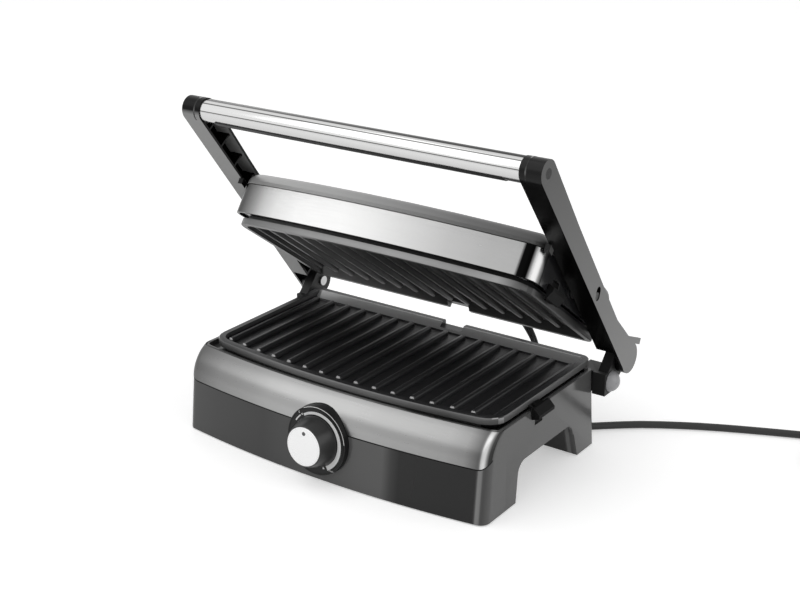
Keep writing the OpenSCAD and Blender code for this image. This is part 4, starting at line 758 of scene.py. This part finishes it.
def thicken(piece, thickness, round_edge):
    solid = piece.modifiers.new("sheet thickness", "SOLIDIFY")
    solid.thickness = thickness * MM
    solid.offset = -1
    bevel = piece.modifiers.new("round edges", "BEVEL")
    bevel.width = round_edge * MM
    bevel.segments = 2
    bevel.limit_method = "ANGLE"
    bevel.angle_limit = math.radians(60)
    bevel.harden_normals = True


# %% [markdown]
# Three sheets make the front: the metal trim, whose lower edge curves down at both corners, a
# black strip of painted shade for the gap under it, and the moulded wall that the other two lie
# on. Each lies a little prouder than the one below it, and Solidify turns each sheet into a real
# wall.

# %% Trim, painted gap shade and wall
def trim_low(x):
    over = max(abs(x) - (BASE_HALF - TRIM_CORNER), 0)
    return NOSE_Z + TRIM_CORNER - math.sqrt(max(TRIM_CORNER ** 2 - over ** 2, 0))


def wall_top(x):
    return BASE_TOP


trim = wall_skin("front_trim_sheet", trim_low, wall_top, 14, 0.2, trim_metal,
                 1.8, ["front_trim"])
thicken(trim, 1.0, 0.2)
# Painted shade: a black strip where the gap under the trim's lower edge lies.
seam = wall_skin("front_trim_gap_shade", lambda x: trim_low(x) - 1.1, lambda x: trim_low(x) + 0.6, 1,
                 0.15, gap_shade_and_latch_black, 1.86)
thicken(seam, 0.5, 0.02)
front_wall = wall_skin("base_front_wall", lambda x: 1.2, wall_top, 38, 0.08,
                       housing_gloss)
thicken(front_wall, 0.5, 0.05)

# %% [markdown]
# ## Heat knob
#
# The knob is moulded plastic with a metal face pressed on. Both are round, so both are spun from
# a profile of radius and height. The face has a fine groove near its edge, and a dark dot that
# points at the scale. They seat on the dial's axis, which leans back by five degrees.


# %% Turned pieces
def spun(name, profile, seat, body, material, replaced=(), steps=128, closed=False):
    """A turned piece: a profile of (radius, height) in mm, spun round the seat's Z axis."""
    bm = bmesh.new()
    corners = [bm.verts.new((radius * MM, 0, height * MM)) for radius, height in profile]
    edges = [bm.edges.new(pair) for pair in zip(corners, corners[1:])]
    if closed:
        edges.append(bm.edges.new((corners[-1], corners[0])))
    bmesh.ops.spin(bm, geom=corners + edges, cent=(0, 0, 0), axis=(0, 0, 1),
                   angle=math.tau, steps=steps, use_merge=True)
    bmesh.ops.remove_doubles(bm, verts=bm.verts, dist=1e-6)
    bmesh.ops.transform(bm, matrix=seat, verts=bm.verts)
    return finish_piece(name, bm, body, material, 30, replaced)


# %% Knob, face and pointer
POINTER_R = 12
dial_seat = Matrix.Translation(DIAL_AT) @ Matrix.Rotation(math.radians(90) - DIAL_TILT, 4, "X")
spun("turned_knob", [(0, 0.4), (22.7, 0.4), (23.2, 0.6), (23.4, 1.1), (23.3, 2.2), (18.75, 16.5),
     (18.5, 17.2), (18.05, 17.6), (17.85, 17.55), (17.8, 16.9), (0, 16.9)],
     dial_seat, "knob", knob_black, ["knob"])
spun("turned_knob_face", [(0, 16.95), (17.7, 16.95), (17.72, 17.35), (17.5, 17.6), (16.6, 17.66),
     (16.5, 17.5), (16.3, 17.5), (16.2, 17.66), (0, 17.7)],
     dial_seat, "knob", cap_metal, ["knob_cap"])
spun("pointer_dot", [(0, 17.5), (1.8, 17.5), (1.8, 17.74), (1.65, 17.8), (0, 17.8)],
     dial_seat @ Matrix.Translation((0, POINTER_R * MM, 0)), "knob", dot_grey,
     steps=32)

# %% [markdown]
# ## Printed scale and a painted edge highlight
#
# The scale is printed on the plate round the knob: a wedge that grows thicker towards the hot
# end, a dash and two dots at its ends, and the words 0 and MAX. The pale line along the plate's
# edge is a painted highlight in the same grey. Each mark is a thin raised form, because the
# visible shape has to come from geometry.


# %% Arc marks
def arc_mark(name, start, end, inner, outer, height=-0.06):
    """A flat mark on the dial's plate; inner and outer give its radii along the arc."""
    bm = bmesh.new()
    bmesh.ops.create_grid(bm, x_segments=max(int(abs(end - start) / 2), 1), y_segments=1, size=1)
    for vert in bm.verts:
        along = (vert.co.x + 1) / 2
        radius = outer(along) if vert.co.y > 0 else inner(along)
        angle = math.radians(start + (end - start) * along)
        vert.co = Vector((radius * math.cos(angle), radius * math.sin(angle), height)) * MM
    bmesh.ops.solidify(bm, geom=bm.faces, thickness=-0.05 * MM)
    bmesh.ops.transform(bm, matrix=dial_seat, verts=bm.verts)
    return finish_piece(name, bm, "base", print_and_glint_grey)


arc_mark("scale_wedge", 124, -60, lambda t: 24.1 - 0.6 * t, lambda t: 26.3 + 1.5 * t)
arc_mark("scale_dash", 149, 132, lambda t: 25.9, lambda t: 27.1)
arc_mark("scale_dot", 129, 126, lambda t: 25.8, lambda t: 27.2)
arc_mark("scale_end_dot", -66, -70, lambda t: 24.2, lambda t: 25.8)
# Painted highlight along the edge of the dial's plate.
arc_mark("plate_edge_glint", 118, 8, lambda t: 30.6, lambda t: 31.2, 0.1)


# %% Words
def flattened(source, name):
    """The mesh of a text or curve object, which is then removed."""
    bpy.context.view_layer.update()
    mesh = bpy.data.meshes.new_from_object(source)
    mesh.name = name
    bpy.data.objects.remove(source)
    return mesh


def label(text, angle, radius, size):
    """Generic lettering for the scale, made from a font and kept as a mesh."""
    data = bpy.data.curves.new("label_" + text, "FONT")
    data.body = text
    data.size = size * MM
    data.extrude = 0.02 * MM
    data.align_x = "CENTER"
    data.align_y = "CENTER"
    words = bpy.data.objects.new("words", data)
    bpy.context.scene.collection.objects.link(words)
    mesh = flattened(words, "label_" + text)
    place = Vector((radius * math.cos(math.radians(angle)),
                    radius * math.sin(math.radians(angle)), 0.05)) * MM
    mesh.transform(dial_seat @ Matrix.Translation(place))
    return dress("label_" + text, mesh, "base", print_and_glint_grey)


label("0", 131, 29.4, 3.0)
label("MAX", -53, 29.7, 2.2)

# %% [markdown]
# ## Handle tube
#
# The handle is a bright metal tube between two black collars. Tube and collars are spun along
# the handle's own axis, so that the stripes of their finishes run true round them.

# %% Handle
HANDLE_R, TUBE_END, COLLAR_END = 11.0, 171.0, 172.6
handle_seat = Matrix.Translation(HANDLE_MIDDLE) @ Matrix.Rotation(math.radians(90), 4, "Y")
spun("polished_handle", [(9.25, -TUBE_END), (10.8, -TUBE_END), (HANDLE_R, 0.4 - TUBE_END),
     (HANDLE_R, TUBE_END - 0.4), (10.8, TUBE_END), (9.25, TUBE_END)],
     handle_seat, "arms", tube_chrome, ["handle_tube"], closed=True)
for side, node in ((-1, "handle_collar_left"), (1, "handle_collar_right")):
    ring = [(radius, side * along) for radius, along in (
        (5, TUBE_END - 4), (9.2, TUBE_END - 4), (9.2, TUBE_END), (11.4, TUBE_END),
        (11.7, TUBE_END + 0.3), (11.7, COLLAR_END), (5, COLLAR_END))]
    spun(node + "_soft", ring, handle_seat, "arms", collar_gloss, [node],
         closed=True)

# %% [markdown]
# ## Wire loom
#
# Three sleeved wires carry power from the base to the upper element. They leave the base's rear
# wall square to it, arch over and enter the lid's rear wall square to that. A cubic curve does
# this. They bend when the lid moves, but here their mesh rides on no body.

# %% Route of the loom
LOOM_R, LOOM_PITCH, LOOM_STEPS = 1.5, 3.6, 24
LOOM_ARCH_LOW, LOOM_ARCH_HIGH = 26, 22
wall_lean = math.atan(7.5 / BASE_TOP)
wall_out = Vector((0, math.cos(wall_lean), math.sin(wall_lean)))
lid_out = Vector((0, math.cos(LID_OPEN), -math.sin(LID_OPEN)))
loom_start = Vector((102, 184.54, 62)) + 1.8 * wall_out
loom_end = Vector((62, 208.62, 108.82))


def loom_point(along, shift):
    """A point of a cubic curve that is square to both walls; shift tells the wires apart."""
    low = loom_start + shift * Vector((0, -wall_out.z, wall_out.y))
    high = loom_end + shift * Vector((0, -lid_out.z, lid_out.y))
    back = 1 - along
    place = (back ** 3 * low + 3 * along * back ** 2 * (low + LOOM_ARCH_LOW * wall_out)
             + 3 * along ** 2 * back * (high + LOOM_ARCH_HIGH * lid_out) + along ** 3 * high)
    return (place - Vector((0, BASE_MIDDLE, 0))) * MM


# %% Loom wires
strands = [[loom_point(step / LOOM_STEPS, wire * LOOM_PITCH) for step in range(LOOM_STEPS + 1)]
           for wire in (-1, 0, 1)]
loom_mesh = flattened(tube_curve("loom_wires", LOOM_R, strands), "loom_wires")
loom = dress("bent_loom", loom_mesh, None, FINISH[slot_of("wire_loom")],
             60, ["wire_loom"])
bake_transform(loom)

# %% [markdown]
# ## Light, floor and background
#
# Plain studio light: one large soft lamp above and in front, a weaker one at the side, and a pale
# world. The camera, mirrors and glass see pure white, through Light Path, so the backdrop is
# white without more light on the grill. The floor lifts itself only for them, and so it keeps
# the grill's shadow.


# %% White for eye and mirror
def seen_by_eye_or_mirror(tree):
    """1 for camera, mirror and glass rays, which see the white background, and otherwise 0."""
    paths = tree.nodes.new("ShaderNodeLightPath")
    value = paths.outputs["Is Camera Ray"]
    for ray in ("Is Glossy Ray", "Is Transmission Ray"):
        either = tree.nodes.new("ShaderNodeMath")
        either.operation = "MAXIMUM"
        tree.links.new(value, either.inputs[0])
        tree.links.new(paths.outputs[ray], either.inputs[1])
        value = either.outputs["Value"]
    return value


# %% Floor
FLOOR_HALF, FLOOR_LIFT = 4.0, 0.42
floor_white = new_material("floor white", (0.9, 0.9, 0.9), 0.7)
lift = add_node(floor_white, "ShaderNodeMath", operation="MULTIPLY")
lift.inputs[1].default_value = FLOOR_LIFT
link(floor_white, seen_by_eye_or_mirror(floor_white.node_tree), lift.inputs[0])
shader_of(floor_white).inputs["Emission Color"].default_value = (1, 1, 1, 1)
link(floor_white, lift.outputs["Value"], shader_of(floor_white).inputs["Emission Strength"])
floor_bm = bmesh.new()
bmesh.ops.create_grid(floor_bm, x_segments=1, y_segments=1, size=FLOOR_HALF)
floor_mesh = bpy.data.meshes.new("floor")
floor_bm.to_mesh(floor_mesh)
floor_bm.free()
floor_mesh.materials.append(floor_white)
floor = bpy.data.objects.new("floor", floor_mesh)
bpy.context.scene.collection.objects.link(floor)
print("floor half:", FLOOR_HALF, "m")

# %% World
WORLD_ON_OBJECT = 0.55
world = bpy.data.worlds.new("studio")
bpy.context.scene.world = world
world.use_nodes = True
tree = world.node_tree
background = tree.nodes["Background"]
background.inputs["Color"].default_value = (1, 1, 1, 1)
level = tree.nodes.new("ShaderNodeMapRange")
level.inputs["To Min"].default_value = WORLD_ON_OBJECT
level.inputs["To Max"].default_value = 1.0
tree.links.new(seen_by_eye_or_mirror(tree), level.inputs["Value"])
tree.links.new(level.outputs["Result"], background.inputs["Strength"])
bpy.context.scene.view_settings.view_transform = "Standard"
print("world lights the grill at", WORLD_ON_OBJECT)

# %% Lamps
GRILL_MIDDLE = Vector((0, 0, 0.12))


def soft_lamp(name, place, size, power):
    data = bpy.data.lights.new(name, "AREA")
    data.shape = "SQUARE"
    data.size = size
    data.energy = power
    lamp = bpy.data.objects.new(name, data)
    lamp.location = place
    lamp.rotation_euler = (GRILL_MIDDLE - Vector(place)).to_track_quat("-Z", "Y").to_euler()
    bpy.context.scene.collection.objects.link(lamp)
    print(name, power, "W")


soft_lamp("key lamp", (-0.7, -1.1, 1.9), 2.4, 15)
soft_lamp("side lamp", (2.2, 0.2, 1.1), 1.8, 8)
